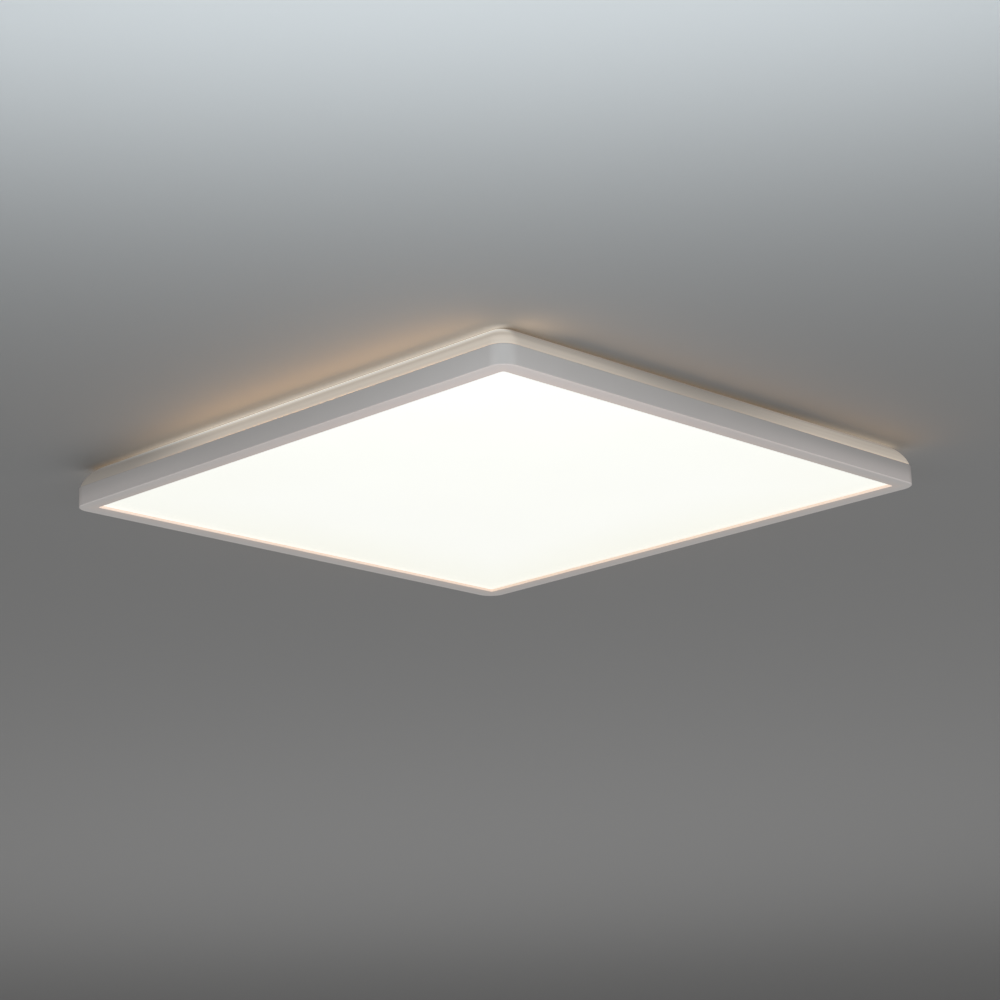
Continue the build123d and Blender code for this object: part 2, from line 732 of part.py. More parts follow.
# Driver cover, open below, with holes for the leads
lead_offsets = (-lead_spacing / 2, lead_spacing / 2)
dc_offsets = (dc_lead_spacing / 2, -dc_lead_spacing / 2)
with BuildPart() as driver_cover:
    cover_x = (-driver_length / 2, driver_length / 2)
    block(cover_x, base_y, (driver_base_top, driver_top))
    fillet(driver_cover.edges().filter_by(Axis.Z), driver_edge_radius)
    hollow_x = driver_length / 2 - driver_cover_wall
    hollow_y = (base_y[0] + driver_cover_wall, base_y[1] - driver_cover_wall)
    cover_hollow = (driver_base_top, driver_top - driver_cover_wall)
    block((-hollow_x, hollow_x), hollow_y, cover_hollow, Mode.SUBTRACT)
    for offset_x in lead_offsets:
        hole_middle = (mains_run + offset_x, base_y[1] - driver_cover_wall / 2, lead_level)
        level_bar(hole_middle, lead_bore, driver_cover_wall, along_y, Mode.SUBTRACT)
    for offset_y in dc_offsets:
        hole_middle = (driver_length / 2 - driver_cover_wall / 2, dc_lead_y + offset_y, lead_level)
        level_bar(hole_middle, dc_lead_bore, driver_cover_wall, along_x, Mode.SUBTRACT)
save(driver_cover.part, "driver_cover")

# Driver board on its standoffs
with BuildPart() as driver_board:
    board_x = (-board_length / 2, board_length / 2)
    board_y = (driver_y - board_width / 2, driver_y + board_width / 2)
    block(board_x, board_y, (board_top - board_thickness, board_top))
save(driver_board.part, "driver_board")

# Transformer: a ferrite frame with a lower middle limb, and the winding round that limb
core_x = core_width / 2
core_y = core_length / 2
limb_x = core_limb / 2
window_x = core_x - core_limb
window_y = core_y - core_limb
core_top = board_top + component_height
limb_z = (board_top + core_limb_drop, core_top - core_limb_drop)
with BuildPart() as transformer_core:
    block((-core_x, core_x), (driver_y - core_y, driver_y + core_y), (board_top, core_top))
    window_span = (driver_y - window_y, driver_y + window_y)
    block((-window_x, window_x), window_span, (board_top, core_top), Mode.SUBTRACT)
    block((-limb_x, limb_x), window_span, limb_z)
save(transformer_core.part, "transformer_core")

with BuildPart() as transformer_winding:
    winding_x = window_x - winding_gap
    winding_y = window_y - winding_gap
    winding_span = (driver_y - winding_y, driver_y + winding_y)
    block((-winding_x, winding_x), winding_span, (board_top, core_top))
    block((-limb_x, limb_x), winding_span, limb_z, Mode.SUBTRACT)
save(transformer_winding.part, "transformer_winding")

# Capacitors lying on the board
with BuildPart() as driver_capacitors:
    with Locations((capacitor_x, driver_y, board_top + capacitor_radius)):
        with GridLocations(capacitor_spacing, 0, capacitor_count, 1):
            Cylinder(capacitor_radius, capacitor_length, rotation=along_y)
save(driver_capacitors.part, "driver_capacitors")

# Ring choke
with BuildPart() as driver_choke:
    choke_z = (board_top, board_top + component_height)
    upright((choke_x, driver_y), choke_radius, choke_z)
    upright((choke_x, driver_y), choke_bore_radius, choke_z, Mode.SUBTRACT)
save(driver_choke.part, "driver_choke")

# Rectifier and switching chip, flat on the board
with BuildPart() as driver_chips:
    with Locations((chip_x, driver_y, board_top + chip_height / 2)):
        with GridLocations(0, chip_spacing, 1, 2):
            Box(chip_side, chip_side, chip_height)
save(driver_chips.part, "driver_chips")

# Lead connectors on the board, one for the mains and one for the strips
mains_end = board_edge_y - connector_inset
dc_start = board_length / 2 - connector_inset
with BuildPart() as driver_connectors:
    connector_z = (board_top, board_top + component_height)
    mains_x = (mains_run - connector_width / 2, mains_run + connector_width / 2)
    block(mains_x, (mains_end - connector_length, mains_end), connector_z)
    dc_y = (dc_lead_y - connector_width / 2, dc_lead_y + connector_width / 2)
    block((dc_start - connector_length, dc_start), dc_y, connector_z)
save(driver_connectors.part, "driver_connectors")

# Screws that hold the driver to the back plate
with BuildPart() as driver_screws:
    for x in (-driver_screws_x, driver_screws_x):
        upright((x, driver_y), screw_head_radius, (driver_base_top, driver_base_top + screw_head_height))
        upright((x, driver_y), screw_shank_radius, (reflector_top, driver_base_top))
save(driver_screws.part, "driver_screws")

# Rubber grommet in the bay's wall, with a bore for each lead
with BuildPart() as lead_grommet:
    grommet_layers = (
        (bay_half - grommet_flange_thickness, bay_half, grommet_flange),
        (bay_half, bay_half + shell_wall, 0),
        (bay_half + shell_wall, bay_half + shell_wall + grommet_flange_thickness, grommet_flange),
    )
    for layer_start, layer_end, flange in grommet_layers:
        with BuildSketch(Plane.YZ.offset(layer_start)):
            with Locations((lead_corridor, lead_level)):
                SlotOverall(grommet_width + 2 * flange, grommet_height + 2 * flange)
        extrude(amount=layer_end - layer_start)
    for offset_y in lead_offsets:
        bore_middle = (bay_half + shell_wall / 2, lead_corridor + offset_y, lead_level)
        bore_length = shell_wall + 2 * grommet_flange_thickness
        level_bar(bore_middle, lead_bore, bore_length, along_x, Mode.SUBTRACT)
save(lead_grommet.part, "lead_grommet")

# Live and neutral leads from the block, through the grommet and under the recess to the driver
for name, pole, offset_y in zip(("neutral_lead", "live_lead"), poles, (lead_spacing / 2, -lead_spacing / 2)):
    lead_y = lead_corridor + offset_y
    lead_x = mains_run + offset_y
    mains_points = [
        (pole, chamber_end, lead_level),
        (pole, lead_y, lead_level),
        (lead_x, lead_y, lead_level),
        (lead_x, mains_end, lead_level),
    ]
    save(lead(mains_points, [lead_y - block_rear, lead_x - bay_half - 2 * shell_wall], lead_radius), name)

# Leads from the driver to the strips, side by side along the diagonal to the open corner
corner_reach = (guide_side - guide_corner_cut) / 2
diagonal_offset = dc_lead_spacing / 2 / sqrt(2)
for name, way in (("positive_lead", 1), ("negative_lead", -1)):
    start_y = dc_lead_y + way * dc_lead_spacing / 2
    turn_x = 2 * way * diagonal_offset - start_y
    over_edge = corner_reach + dc_edge_gap
    in_corner = corner_reach + dc_corner_gap
    corner_points = [
        (over_edge + way * diagonal_offset, way * diagonal_offset - over_edge, dc_lead_floor),
        (in_corner + way * diagonal_offset, way * diagonal_offset - in_corner, strip_level + dc_corner_rise),
    ]
    if way > 0:
        end_points = [(strip_line, y, strip_level) for y in (-strip_end - dc_end_run, -strip_end)]
    else:
        end_points = [(x, -strip_line, strip_level) for x in (strip_end + dc_end_run, strip_end)]
    dc_points = [
        (dc_start, start_y, lead_level),
        (driver_length / 2 + driver_ear / 2, start_y, lead_level),
        (turn_x - driver_ear / 2, start_y, dc_lead_floor),
        (turn_x, start_y, dc_lead_floor),
        *corner_points,
        *end_points,
    ]
    save(lead(dc_points, dc_bends, dc_lead_radius), name)

# Clips on the back plate that hold the leads
dc_clip_place = corner_reach - dc_clip_inset
with BuildPart() as lead_clips:
    for clip_y in (-mains_clip_place, mains_clip_place):
        clip_x = (mains_run - mains_clip_width / 2, mains_run + mains_clip_width / 2)
        clip_span = (clip_y - mains_clip_length / 2, clip_y + mains_clip_length / 2)
        block(clip_x, clip_span, (plate_top, lead_level + mains_clip_roof))
        for offset_x in lead_offsets:
            clip_bore = (mains_run + offset_x, clip_y, lead_level)
            level_bar(clip_bore, lead_bore, mains_clip_length, along_y, Mode.SUBTRACT)
    with Locations(Location((dc_clip_place, -dc_clip_place, 0), (0, 0, -45))):
        clip_z = (plate_top, dc_lead_floor + dc_lead_radius + dc_clip_roof)
        block((-dc_clip_length / 2, dc_clip_length / 2), (-dc_clip_width / 2, dc_clip_width / 2), clip_z)
        for offset_y in dc_offsets:
            level_bar((0, offset_y, dc_lead_floor), dc_lead_bore, dc_clip_length, along_x, Mode.SUBTRACT)
save(lead_clips.part, "lead_clips")
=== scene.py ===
import json
import math
import bpy
from mathutils import Matrix, Vector

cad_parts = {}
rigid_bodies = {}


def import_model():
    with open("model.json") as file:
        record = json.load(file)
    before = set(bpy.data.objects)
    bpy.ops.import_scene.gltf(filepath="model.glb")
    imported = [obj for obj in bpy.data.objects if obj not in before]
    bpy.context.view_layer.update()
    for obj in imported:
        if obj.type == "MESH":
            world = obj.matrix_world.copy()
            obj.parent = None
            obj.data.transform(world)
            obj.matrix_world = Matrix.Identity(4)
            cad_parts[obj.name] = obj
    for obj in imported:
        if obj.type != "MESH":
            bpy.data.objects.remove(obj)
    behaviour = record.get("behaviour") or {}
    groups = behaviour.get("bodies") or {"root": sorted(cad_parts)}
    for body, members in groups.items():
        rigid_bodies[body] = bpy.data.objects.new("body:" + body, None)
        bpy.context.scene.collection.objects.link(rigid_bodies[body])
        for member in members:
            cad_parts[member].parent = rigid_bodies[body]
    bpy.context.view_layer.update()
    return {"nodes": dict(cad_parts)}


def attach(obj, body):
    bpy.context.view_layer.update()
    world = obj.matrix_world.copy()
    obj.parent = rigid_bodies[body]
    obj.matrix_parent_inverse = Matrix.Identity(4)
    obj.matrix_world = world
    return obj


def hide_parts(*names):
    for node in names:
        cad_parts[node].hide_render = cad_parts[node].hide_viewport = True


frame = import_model()
nodes = frame["nodes"]
MM = 0.001

# Sizes and places of the moulded pieces are in millimetres, as in the part's source
# Bezel frame: wall, lip, window and snap beads
LAMP_HALF = 210.0
CORNER = 12.8
CORNER_STEPS = 14
LIP_FACE = -28.6
LIP_BACK = -26.4
FRAME_TOP = -14.9
FRAME_INNER_HALF = 208.0
FRAME_EDGE = 0.5
LIP_EDGE_STEPS = 5
EDGE_STEPS = 3
STEEP_FACE = 0.5
WINDOW_HALF = 196.9
WINDOW_CORNER = 2.0
WINDOW_EDGE = 0.35
BEAD_LEVEL = -16.6
BEADS_ALONG = (-120.0, 0.0, 120.0)
BEAD_SIZE = (1.1, 14.0, 1.2)
BEAD_ROOT = 0.2
BEAD_EDGE = 0.3

# Rear shell: flank, skirt and snap windows
SHELL_BACK = -0.6
SHELL_WALL = 2.0
SHELL_ROOF = SHELL_BACK - SHELL_WALL
SHELL_EDGE = 0.3
RIM_HALF = 209.4
RIM_CORNER = 12.2
BACK_HALF = 197.6
BACK_CORNER = 8.4
FLANK_RADIUS = 22.0
FLANK_STEPS = 14
INNER_FLANK_STEPS = 6
SKIRT_HALF = 207.7
SKIRT_CORNER = 10.5
SKIRT_WALL = 1.8
SKIRT_ROOT = 1.6
SKIRT_BOTTOM = -18.3
SNAP_WINDOW_HALF = (2.1, 7.3, 0.9)

# Hollows in the shell's back, each with its lower corner and the two far sides
RECESS = ((-87.0, -38.0, -7.5), (70.5, 38.0))
RECESS_CORNER = 4.0
RECESS_TUB = ((-89.0, -40.0, -9.5), (72.5, 40.0))
RECESS_TUB_CORNER = 6.0
BAY = ((-33.0, 37.5, -17.3), (33.0, 84.0))
BAY_TUB = ((-35.0, 36.0, -19.3), (35.0, 86.0))
BAY_TUB_CORNER = 5.0
LID_SEAT = ((-34.0, 39.7, SHELL_ROOF), (34.0, 84.0))
ABOVE_BACK = 1.0

# Ledges on the bracket's hooks, hole for the leads and posts that press on the back plate
LEDGE_X = 56.0
LEDGE_HALF = 8.0
LEDGE_SPAN = (28.0, 39.0)
LEDGE_LEVELS = (-4.4, -2.4)
LEAD_HOLE_X = 34.0
LEAD_HOLE_SPAN = (78.1, 79.9)
LEAD_HOLE_LEVEL = -13.0
LEAD_HOLE_RADIUS = 2.8
LEAD_HOLE_LENGTH = 6.0
PRESS_POST_FAR = 165.0
PRESS_POST_NEAR = 105.0
PRESS_POST_LEVEL = -10.25
PRESS_POST_RADIUS = 3.5
PRESS_POST_LENGTH = 17.3

# Terminal lid: slab, hinge, finger notch and grip grooves
LID_LOW = (-33.7, 40.0, SHELL_ROOF)
LID_HIGH = (33.7, 78.4, SHELL_BACK)
LID_CORNER = 1.2
LID_EDGE = 0.2
HINGE_Y = 80.9
HINGE_LEVEL = -2.5
BARREL_RADIUS = 1.9
BARREL_LENGTH = 48.0
EAR_X = 29.2
EAR_LENGTH = 9.6
BORE_RADIUS = 1.05
BORE_LENGTH = 60.0
WEB_START = 77.4
NOTCH_Y = 35.0
NOTCH_LEVEL = -1.6
NOTCH_RADIUS = 9.0
NOTCH_LENGTH = 6.0
GROOVE_ROWS = (47.0, 49.0, 51.0, 53.0)
GROOVE_HALF = (12.0, 0.45)
GROOVE_CORNER = 0.4
GROOVE_DEPTH = 0.4

# Screws of the terminal block, with their posts
SCREW_X = 17.0
SCREW_Y = 65.0
SCREW_EDGE = 0.06
SCREW_POST_LEVEL = -14.9
SCREW_POST_RADIUS = 3.2
SCREW_POST_LENGTH = 4.9
HEAD_LEVEL = -8.5
HEAD_RADIUS = 2.5
HEAD_HEIGHT = 1.6
HEAD_DOME = 0.7
DOME_STEPS = 5
SHANK_LEVEL = -12.75
SHANK_RADIUS = 1.15
SHANK_LENGTH = 7.1
CROSS_HALF = (1.5, 0.36)
CROSS_LEVELS = (-8.6, -7.0)

# Camera at the photograph's place, looking up at the ceiling
LAMP_SIDE = 2 * LAMP_HALF * MM
CAMERA_PLACE = Vector((-3.2295 * LAMP_SIDE, -3.0858 * LAMP_SIDE, LIP_FACE * MM - 1.26115 * LAMP_SIDE))
CAMERA_RIGHT = Vector((0.6962, -0.7171, -0.0324))
CAMERA_DOWN = Vector((0.1725, 0.2110, -0.9621))
CAMERA_AHEAD = Vector((0.6968, 0.6643, 0.2706))
CAMERA_LENS = 100.24
CAMERA_SENSOR = 36.0


def place_camera():
    lens = bpy.data.cameras.new("photo_camera")
    lens.sensor_width = CAMERA_SENSOR
    lens.lens = CAMERA_LENS
    lens.clip_start = 0.01
    lens.clip_end = 200.0
    camera = bpy.data.objects.new("photo_camera", lens)
    bpy.context.scene.collection.objects.link(camera)
    turn = Matrix((CAMERA_RIGHT, -CAMERA_DOWN, -CAMERA_AHEAD)).transposed().to_4x4()
    camera.matrix_world = Matrix.Translation(CAMERA_PLACE) @ turn
    bpy.context.scene.camera = camera


place_camera()


# Node wiring in short: a node with its settings, its inputs by name, and a link by socket names
def add_node(tree, kind, **settings):
    node = tree.nodes.new(kind)
    for key, value in settings.items():
        setattr(node, key, value)
    return node


def set_inputs(node, **values):
    for key, value in values.items():
        node.inputs[key.replace("_", " ")].default_value = value
    return node


def link(tree, source, output, target, entry):
    tree.links.new(source.outputs[output], target.inputs[entry])


FLOAT = "NodeSocketFloat"
COLOUR = "NodeSocketColor"


def new_group(name, entries, exits):
    group = bpy.data.node_groups.new(name, "ShaderNodeTree")
    for entry, value in entries.items():
        socket = group.interface.new_socket(entry, in_out="INPUT", socket_type=FLOAT)
        socket.default_value = value
    for leaving, kind in exits.items():
        group.interface.new_socket(leaving, in_out="OUTPUT", socket_type=kind)
    inside = group.nodes.new("NodeGroupInput")
    outside = group.nodes.new("NodeGroupOutput")
    return group, inside, outside


# Surface groups: each gives a height for the bump, a tone and a sheen
SURFACE_EXITS = {"Height": FLOAT, "Tone": FLOAT, "Sheen": FLOAT}
SHEEN_PATCHES = 5.0


# Moulded grain: fine texture of the tool, with broad soft clouds of tone
def make_moulded_grain():
    group, inside, outside = new_group("moulded_grain", {"Grain": 2200.0, "Clouds": 14.0}, SURFACE_EXITS)
    place = add_node(group, "ShaderNodeTexCoord")
    fine = set_inputs(add_node(group, "ShaderNodeTexNoise"), Detail=3.0, Roughness=0.6)
    broad = set_inputs(add_node(group, "ShaderNodeTexNoise"), Detail=4.0, Roughness=0.55)
    patch = set_inputs(add_node(group, "ShaderNodeTexNoise"), Detail=2.0, Roughness=0.5)
    smaller = add_node(group, "ShaderNodeMath", operation="MULTIPLY")
    smaller.inputs[1].default_value = SHEEN_PATCHES
    for noise in (fine, broad, patch):
        link(group, place, "Object", noise, "Vector")
    link(group, inside, "Grain", fine, "Scale")
    link(group, inside, "Clouds", broad, "Scale")
    link(group, inside, "Clouds", smaller, 0)
    link(group, smaller, 0, patch, "Scale")
    link(group, fine, "Fac", outside, "Height")
    link(group, broad, "Fac", outside, "Tone")
    link(group, patch, "Fac", outside, "Sheen")
    return group


# Brushed lines: noise drawn out along one axis of the piece
def make_brushed_lines():
    entries = {"Along X": 20.0, "Along Y": 1500.0, "Along Z": 1500.0}
    group, inside, outside = new_group("brushed_lines", entries, SURFACE_EXITS)
    place = add_node(group, "ShaderNodeTexCoord")
    stretch = add_node(group, "ShaderNodeCombineXYZ")
    scaled = add_node(group, "ShaderNodeVectorMath", operation="MULTIPLY")
    lines = set_inputs(add_node(group, "ShaderNodeTexNoise"), Scale=1.0, Detail=4.0, Roughness=0.65)
    smear = set_inputs(add_node(group, "ShaderNodeTexNoise"), Scale=22.0, Detail=3.0)
    for axis in "XYZ":
        link(group, inside, f"Along {axis}", stretch, axis)
    link(group, place, "Object", scaled, 0)
    link(group, stretch, 0, scaled, 1)
    link(group, scaled, 0, lines, "Vector")
    link(group, place, "Object", smear, "Vector")
    link(group, lines, "Fac", outside, "Height")
    link(group, lines, "Fac", outside, "Tone")
    link(group, smear, "Fac", outside, "Sheen")
    return group


# Zinc spangle: flat crystals of different tone, with fine streaks
def make_zinc_spangle():
    group, inside, outside = new_group("zinc_spangle", {"Crystals": 260.0}, SURFACE_EXITS)
    place = add_node(group, "ShaderNodeTexCoord")
    cells = add_node(group, "ShaderNodeTexVoronoi")
    tone = add_node(group, "ShaderNodeSeparateColor")
    streak = set_inputs(add_node(group, "ShaderNodeTexNoise"), Scale=700.0, Detail=3.0)
    for texture in (cells, streak):
        link(group, place, "Object", texture, "Vector")
    link(group, inside, "Crystals", cells, "Scale")
    link(group, cells, "Color", tone, 0)
    link(group, streak, "Fac", outside, "Height")
    link(group, tone, "Red", outside, "Tone")
    link(group, tone, "Green", outside, "Sheen")
    return group


# Foam cells: small open bubbles
def make_foam_cells():
    group, inside, outside = new_group("foam_cells", {"Cells": 1400.0}, SURFACE_EXITS)
    place = add_node(group, "ShaderNodeTexCoord")
    cells = add_node(group, "ShaderNodeTexVoronoi")
    broad = set_inputs(add_node(group, "ShaderNodeTexNoise"), Scale=90.0, Detail=3.0)
    for texture in (cells, broad):
        link(group, place, "Object", texture, "Vector")
    link(group, inside, "Cells", cells, "Scale")
    link(group, cells, "Distance", outside, "Height")
    link(group, cells, "Distance", outside, "Tone")
    link(group, broad, "Fac", outside, "Sheen")
    return group


# Glow sums: each helper takes output sockets or constants, and gives an output socket
def feed(tree, entry, value):
    if isinstance(value, (float, tuple)):
        entry.default_value = value
    else:
        tree.links.new(value, entry)


def work_out(tree, operation, *values):
    node = add_node(tree, "ShaderNodeMath", operation=operation)
    for entry, value in zip(node.inputs, values):
        feed(tree, entry, value)
    return node.outputs[0]


def product(tree, first, second):
    return work_out(tree, "MULTIPLY", first, second)


def greater(tree, first, second):
    return work_out(tree, "MAXIMUM", first, second)


def total(tree, first, second):
    return work_out(tree, "ADD", first, second)


# One value where the mask is 0, the other where it is 1
def choose_value(tree, mask, first, second):
    node = add_node(tree, "ShaderNodeMix")
    for number, value in ((0, mask), (2, first), (3, second)):
        feed(tree, node.inputs[number], value)
    return node.outputs[0]


def choose_colour(tree, mask, first, second, blend="MIX"):
    node = add_node(tree, "ShaderNodeMix", data_type="RGBA", blend_type=blend)
    for number, value in ((0, mask), (6, first), (7, second)):
        feed(tree, node.inputs[number], value)
    return node.outputs[2]


# Sum of values, each in its own tint
def tinted_sum(tree, *tints):
    shown = None
    for value, colour in tints:
        tint = add_node(tree, "ShaderNodeVectorMath", operation="SCALE")
        tint.inputs[0].default_value = colour
        feed(tree, tint.inputs["Scale"], value)
        if shown is None:
            shown = tint.outputs[0]
        else:
            both = add_node(tree, "ShaderNodeVectorMath", operation="ADD")
            feed(tree, both.inputs[0], shown)
            feed(tree, both.inputs[1], tint.outputs[0])
            shown = both.outputs[0]
    return shown


# A value drawn out between a least and a most value, with soft ends
def soft_span(tree, value, ends, most=1.0, least=0.0):
    node = add_node(tree, "ShaderNodeMapRange", interpolation_type="SMOOTHSTEP")
    set_inputs(node, From_Min=ends[0], From_Max=ends[1], To_Min=least, To_Max=most)
    feed(tree, node.inputs["Value"], value)
    return node.outputs[0]


# The same between two places on the lamp, in millimetres: where it starts and where it is full
def place_span(tree, value, ends, most=1.0, least=0.0):
    return soft_span(tree, value, [end * MM for end in ends], most, least)


def object_place(tree):
    place = add_node(tree, "ShaderNodeTexCoord").outputs["Object"]
    axes = add_node(tree, "ShaderNodeSeparateXYZ")
    feed(tree, axes.inputs[0], place)
    return place, *axes.outputs


# Distance from the lamp's middle, counted square as the lamp is square
def square_reach(tree, x, y):
    return greater(tree, work_out(tree, "ABSOLUTE", x), work_out(tree, "ABSOLUTE", y))


# Glow of the opal sheet: a little yellower towards its far edges, with a brighter line
# where one edge runs under the lip
SHEET_WHITE = (0.975, 0.985, 0.935, 1.0)
SHEET_YELLOW = (0.935, 0.935, 0.830, 1.0)
SHEET_LINE = (0.10, 0.10, 0.14, 1.0)
SHEET_CLOUDS = 0.12
SHEET_EDGE = (100.0, 200.0)
SHEET_DIAGONAL = (-380.0, 300.0)
SHEET_LINE_Y = (193.0, 196.2)


def make_sheet_glow():
    group, _, outside = new_group("sheet_glow", {}, {"Glow": COLOUR})
    place, x, y, _ = object_place(group)
    edge = place_span(group, square_reach(group, x, y), SHEET_EDGE)
    far = place_span(group, total(group, x, y), SHEET_DIAGONAL)
    clouds = set_inputs(add_node(group, "ShaderNodeTexNoise"), Scale=9.0, Detail=2.0)
    feed(group, clouds.inputs["Vector"], place)
    uneven = product(group, clouds.outputs["Fac"], SHEET_CLOUDS)
    share = total(group, product(group, edge, far), uneven)
    glow = choose_colour(group, share, SHEET_WHITE, SHEET_YELLOW)
    line = place_span(group, y, SHEET_LINE_Y)
    feed(group, outside.inputs["Glow"], choose_colour(group, line, glow, SHEET_LINE, blend="ADD"))
    return group


# Glow of the milky flank: a cream veil of painted glow in long faint bands, a painted highlight along the
# top of the west side, a thin painted highlight line at the rim, and the leaks of light on to the ceiling
VEIL_TINT = (1.0, 0.86, 0.70)
VEIL_STRETCH = (2.5, 2.5, 300.0)
PAINTED_HIGHLIGHT_TINT = (0.30, 0.31, 0.30)
WHITE_LEAK = (1.55, 1.42, 1.22)
TOP_LEAK = (0.35, 0.19, 0.05)
WARM_LEAK = (1.75, 1.18, 0.66)
FLANK_REACH = (190.0, 198.0)
FLANK_LEVELS = (SHELL_BACK, FRAME_TOP)
FLANK_SIDE = (-192.0, -200.0)
BRIGHT_Y = (210.0, 55.0)
VEIL_NEAR_X = (-30.0, -160.0)
VEIL_FAR_X = (-20.0, 120.0)
VEIL_WEST_Y = (155.0, 30.0)
RIM_HIGHLIGHT_LEVELS = (-12.8, -14.6)
BAND_CONTRAST = (0.3, 0.7)
PAINTED_HIGHLIGHT_LEVELS = (-6.8, -2.0)
LEAK_TOP_LEVELS = (-6.0, -1.5)
LEAK_EAST_X = (50.0, 190.0)
LEAK_NEAR_X = (-140.0, -200.0)


def make_shell_glow():
    group, _, outside = new_group("shell_glow", {}, {"Veil": COLOUR, "Leak": COLOUR})
    place, x, y, z = object_place(group)
    flank = place_span(group, square_reach(group, x, y), FLANK_REACH)
    west = place_span(group, x, FLANK_SIDE)
    south = place_span(group, y, FLANK_SIDE)
    along = place_span(group, y, BRIGHT_Y)
    bright_side = product(group, along, west)
    # Veil: painted glow of the light inside, strongest along the west side and at both ends of the south
    # side, and darker towards the top except on the west side
    drawn = add_node(group, "ShaderNodeVectorMath", operation="MULTIPLY")
    feed(group, drawn.inputs[0], place)
    feed(group, drawn.inputs[1], VEIL_STRETCH)
    bands = set_inputs(add_node(group, "ShaderNodeTexNoise"), Scale=1.0, Detail=1.5)
    link(group, drawn, 0, bands, "Vector")
    near_end = place_span(group, x, VEIL_NEAR_X, most=0.17, least=0.05)
    far_end = place_span(group, x, VEIL_FAR_X, most=0.23)
    fall = place_span(group, z, FLANK_LEVELS, least=0.55)
    plain = product(group, total(group, near_end, far_end), fall)
    veil = choose_value(group, west, plain, place_span(group, y, VEIL_WEST_Y, most=0.25))
    banding = soft_span(group, bands.outputs["Fac"], BAND_CONTRAST, most=1.18, least=0.82)
    veil = product(group, veil, banding)
    # A thin painted highlight line along the rim
    veil = total(group, veil, place_span(group, z, RIM_HIGHLIGHT_LEVELS, most=0.015))
    veil = product(group, veil, flank)
    # Painted highlight: a bright line high on the west flank, standing in for the reflection of a light
    streak = product(group, bright_side, place_span(group, z, PAINTED_HIGHLIGHT_LEVELS))
    shown = tinted_sum(group, (veil, VEIL_TINT), (streak, PAINTED_HIGHLIGHT_TINT))
    # Leaks: white at the top of the west side and of the east end, warm elsewhere and lower down
    low = product(group, flank, place_span(group, z, FLANK_LEVELS))
    top = product(group, flank, place_span(group, z, LEAK_TOP_LEVELS))
    east_end = product(group, south, place_span(group, x, LEAK_EAST_X, most=0.45))
    near_corner = product(group, south, place_span(group, x, LEAK_NEAR_X, most=2.0))
    ends = greater(group, east_end, near_corner)
    white = product(group, top, greater(group, bright_side, east_end))
    warm = product(group, low, choose_value(group, west, ends, along))
    leak = tinted_sum(group, (white, WHITE_LEAK), (top, TOP_LEAK), (warm, WARM_LEAK))
    feed(group, outside.inputs["Veil"], shown)
    feed(group, outside.inputs["Leak"], leak)
    return group


# Glow of the frame: faint warm painted light low on its wall, by its window and on its lip, and the
# warm spill of light from its wall over the ceiling, strongest on the west side
WALL_TINT = (1.0, 0.88, 0.85)
WINDOW_TINT = (1.0, 0.35, 0.0)
LIP_TINT = (1.0, 0.6, 0.5)
SPILL_TINT = (4.6, 2.6, 1.1)
WALL_PAINTED_LIGHT = 0.03
OTHER_SPILL = 0.34
WALL_REACH = (207.5, 209.4)
WALL_SIDE = (-200.0, -206.0)
WALL_LEVELS = (-15.0, -27.5)
WALL_LEFT_Y = (0.0, 180.0)
WALL_RIGHT_X = (-100.0, 160.0)
WINDOW_REACH = (206.0, 197.5)
LIP_DIAGONAL = (0.0, -360.0)
LIP_LEVELS = (-27.6, -28.5)
SPILL_LEFT_Y = (170.0, 0.0)
SPILL_NEAR_Y = (-300.0, -120.0)
SPILL_FAR = (-160.0, 20.0)


def make_frame_glow():
    group, _, outside = new_group("frame_glow", {}, {"Painted Light": COLOUR, "Spill": COLOUR})
    _, x, y, z = object_place(group)
    reach = square_reach(group, x, y)
    wall = place_span(group, reach, WALL_REACH)
    west = place_span(group, x, WALL_SIDE)
    south = place_span(group, y, WALL_SIDE)
    # Painted light: stronger towards the left and right corners on the wall, and towards the near corner on
    # the lip
    left_end = product(group, west, place_span(group, y, WALL_LEFT_Y, most=0.035))
    right_end = product(group, south, place_span(group, x, WALL_RIGHT_X, most=0.09))
    amount = total(group, total(group, left_end, right_end), WALL_PAINTED_LIGHT)
    low = product(group, wall, place_span(group, z, WALL_LEVELS))
    low = product(group, low, amount)
    window = place_span(group, reach, WINDOW_REACH, most=0.03)
    near_corner = place_span(group, total(group, x, y), LIP_DIAGONAL, most=0.075)
    lip = product(group, place_span(group, z, LIP_LEVELS), near_corner)
    painted_light = tinted_sum(group, (low, WALL_TINT), (window, WINDOW_TINT), (lip, LIP_TINT))
    # Spill: the two far sides give less towards the corners that they share with the near sides
    middle = product(group, place_span(group, y, SPILL_LEFT_Y), place_span(group, y, SPILL_NEAR_Y))
    far_x = place_span(group, x, SPILL_FAR)
    far_y = place_span(group, y, SPILL_FAR, most=OTHER_SPILL)
    others = greater(group, product(group, south, OTHER_SPILL), product(group, far_x, far_y))
    spill = product(group, wall, choose_value(group, west, others, middle))
    feed(group, outside.inputs["Painted Light"], painted_light)
    feed(group, outside.inputs["Spill"], tinted_sum(group, (spill, SPILL_TINT)))
    return group


GRAIN = make_moulded_grain()
BRUSHED = make_brushed_lines()
SPANGLE = make_zinc_spangle()
FOAM = make_foam_cells()
SHEET_GLOW = make_sheet_glow()
SHELL_GLOW = make_shell_glow()
FRAME_GLOW = make_frame_glow()
NOISE_LOW = 0.25
NOISE_HIGH = 0.75


def shader_of(material):
    return material.node_tree.nodes["Principled BSDF"]


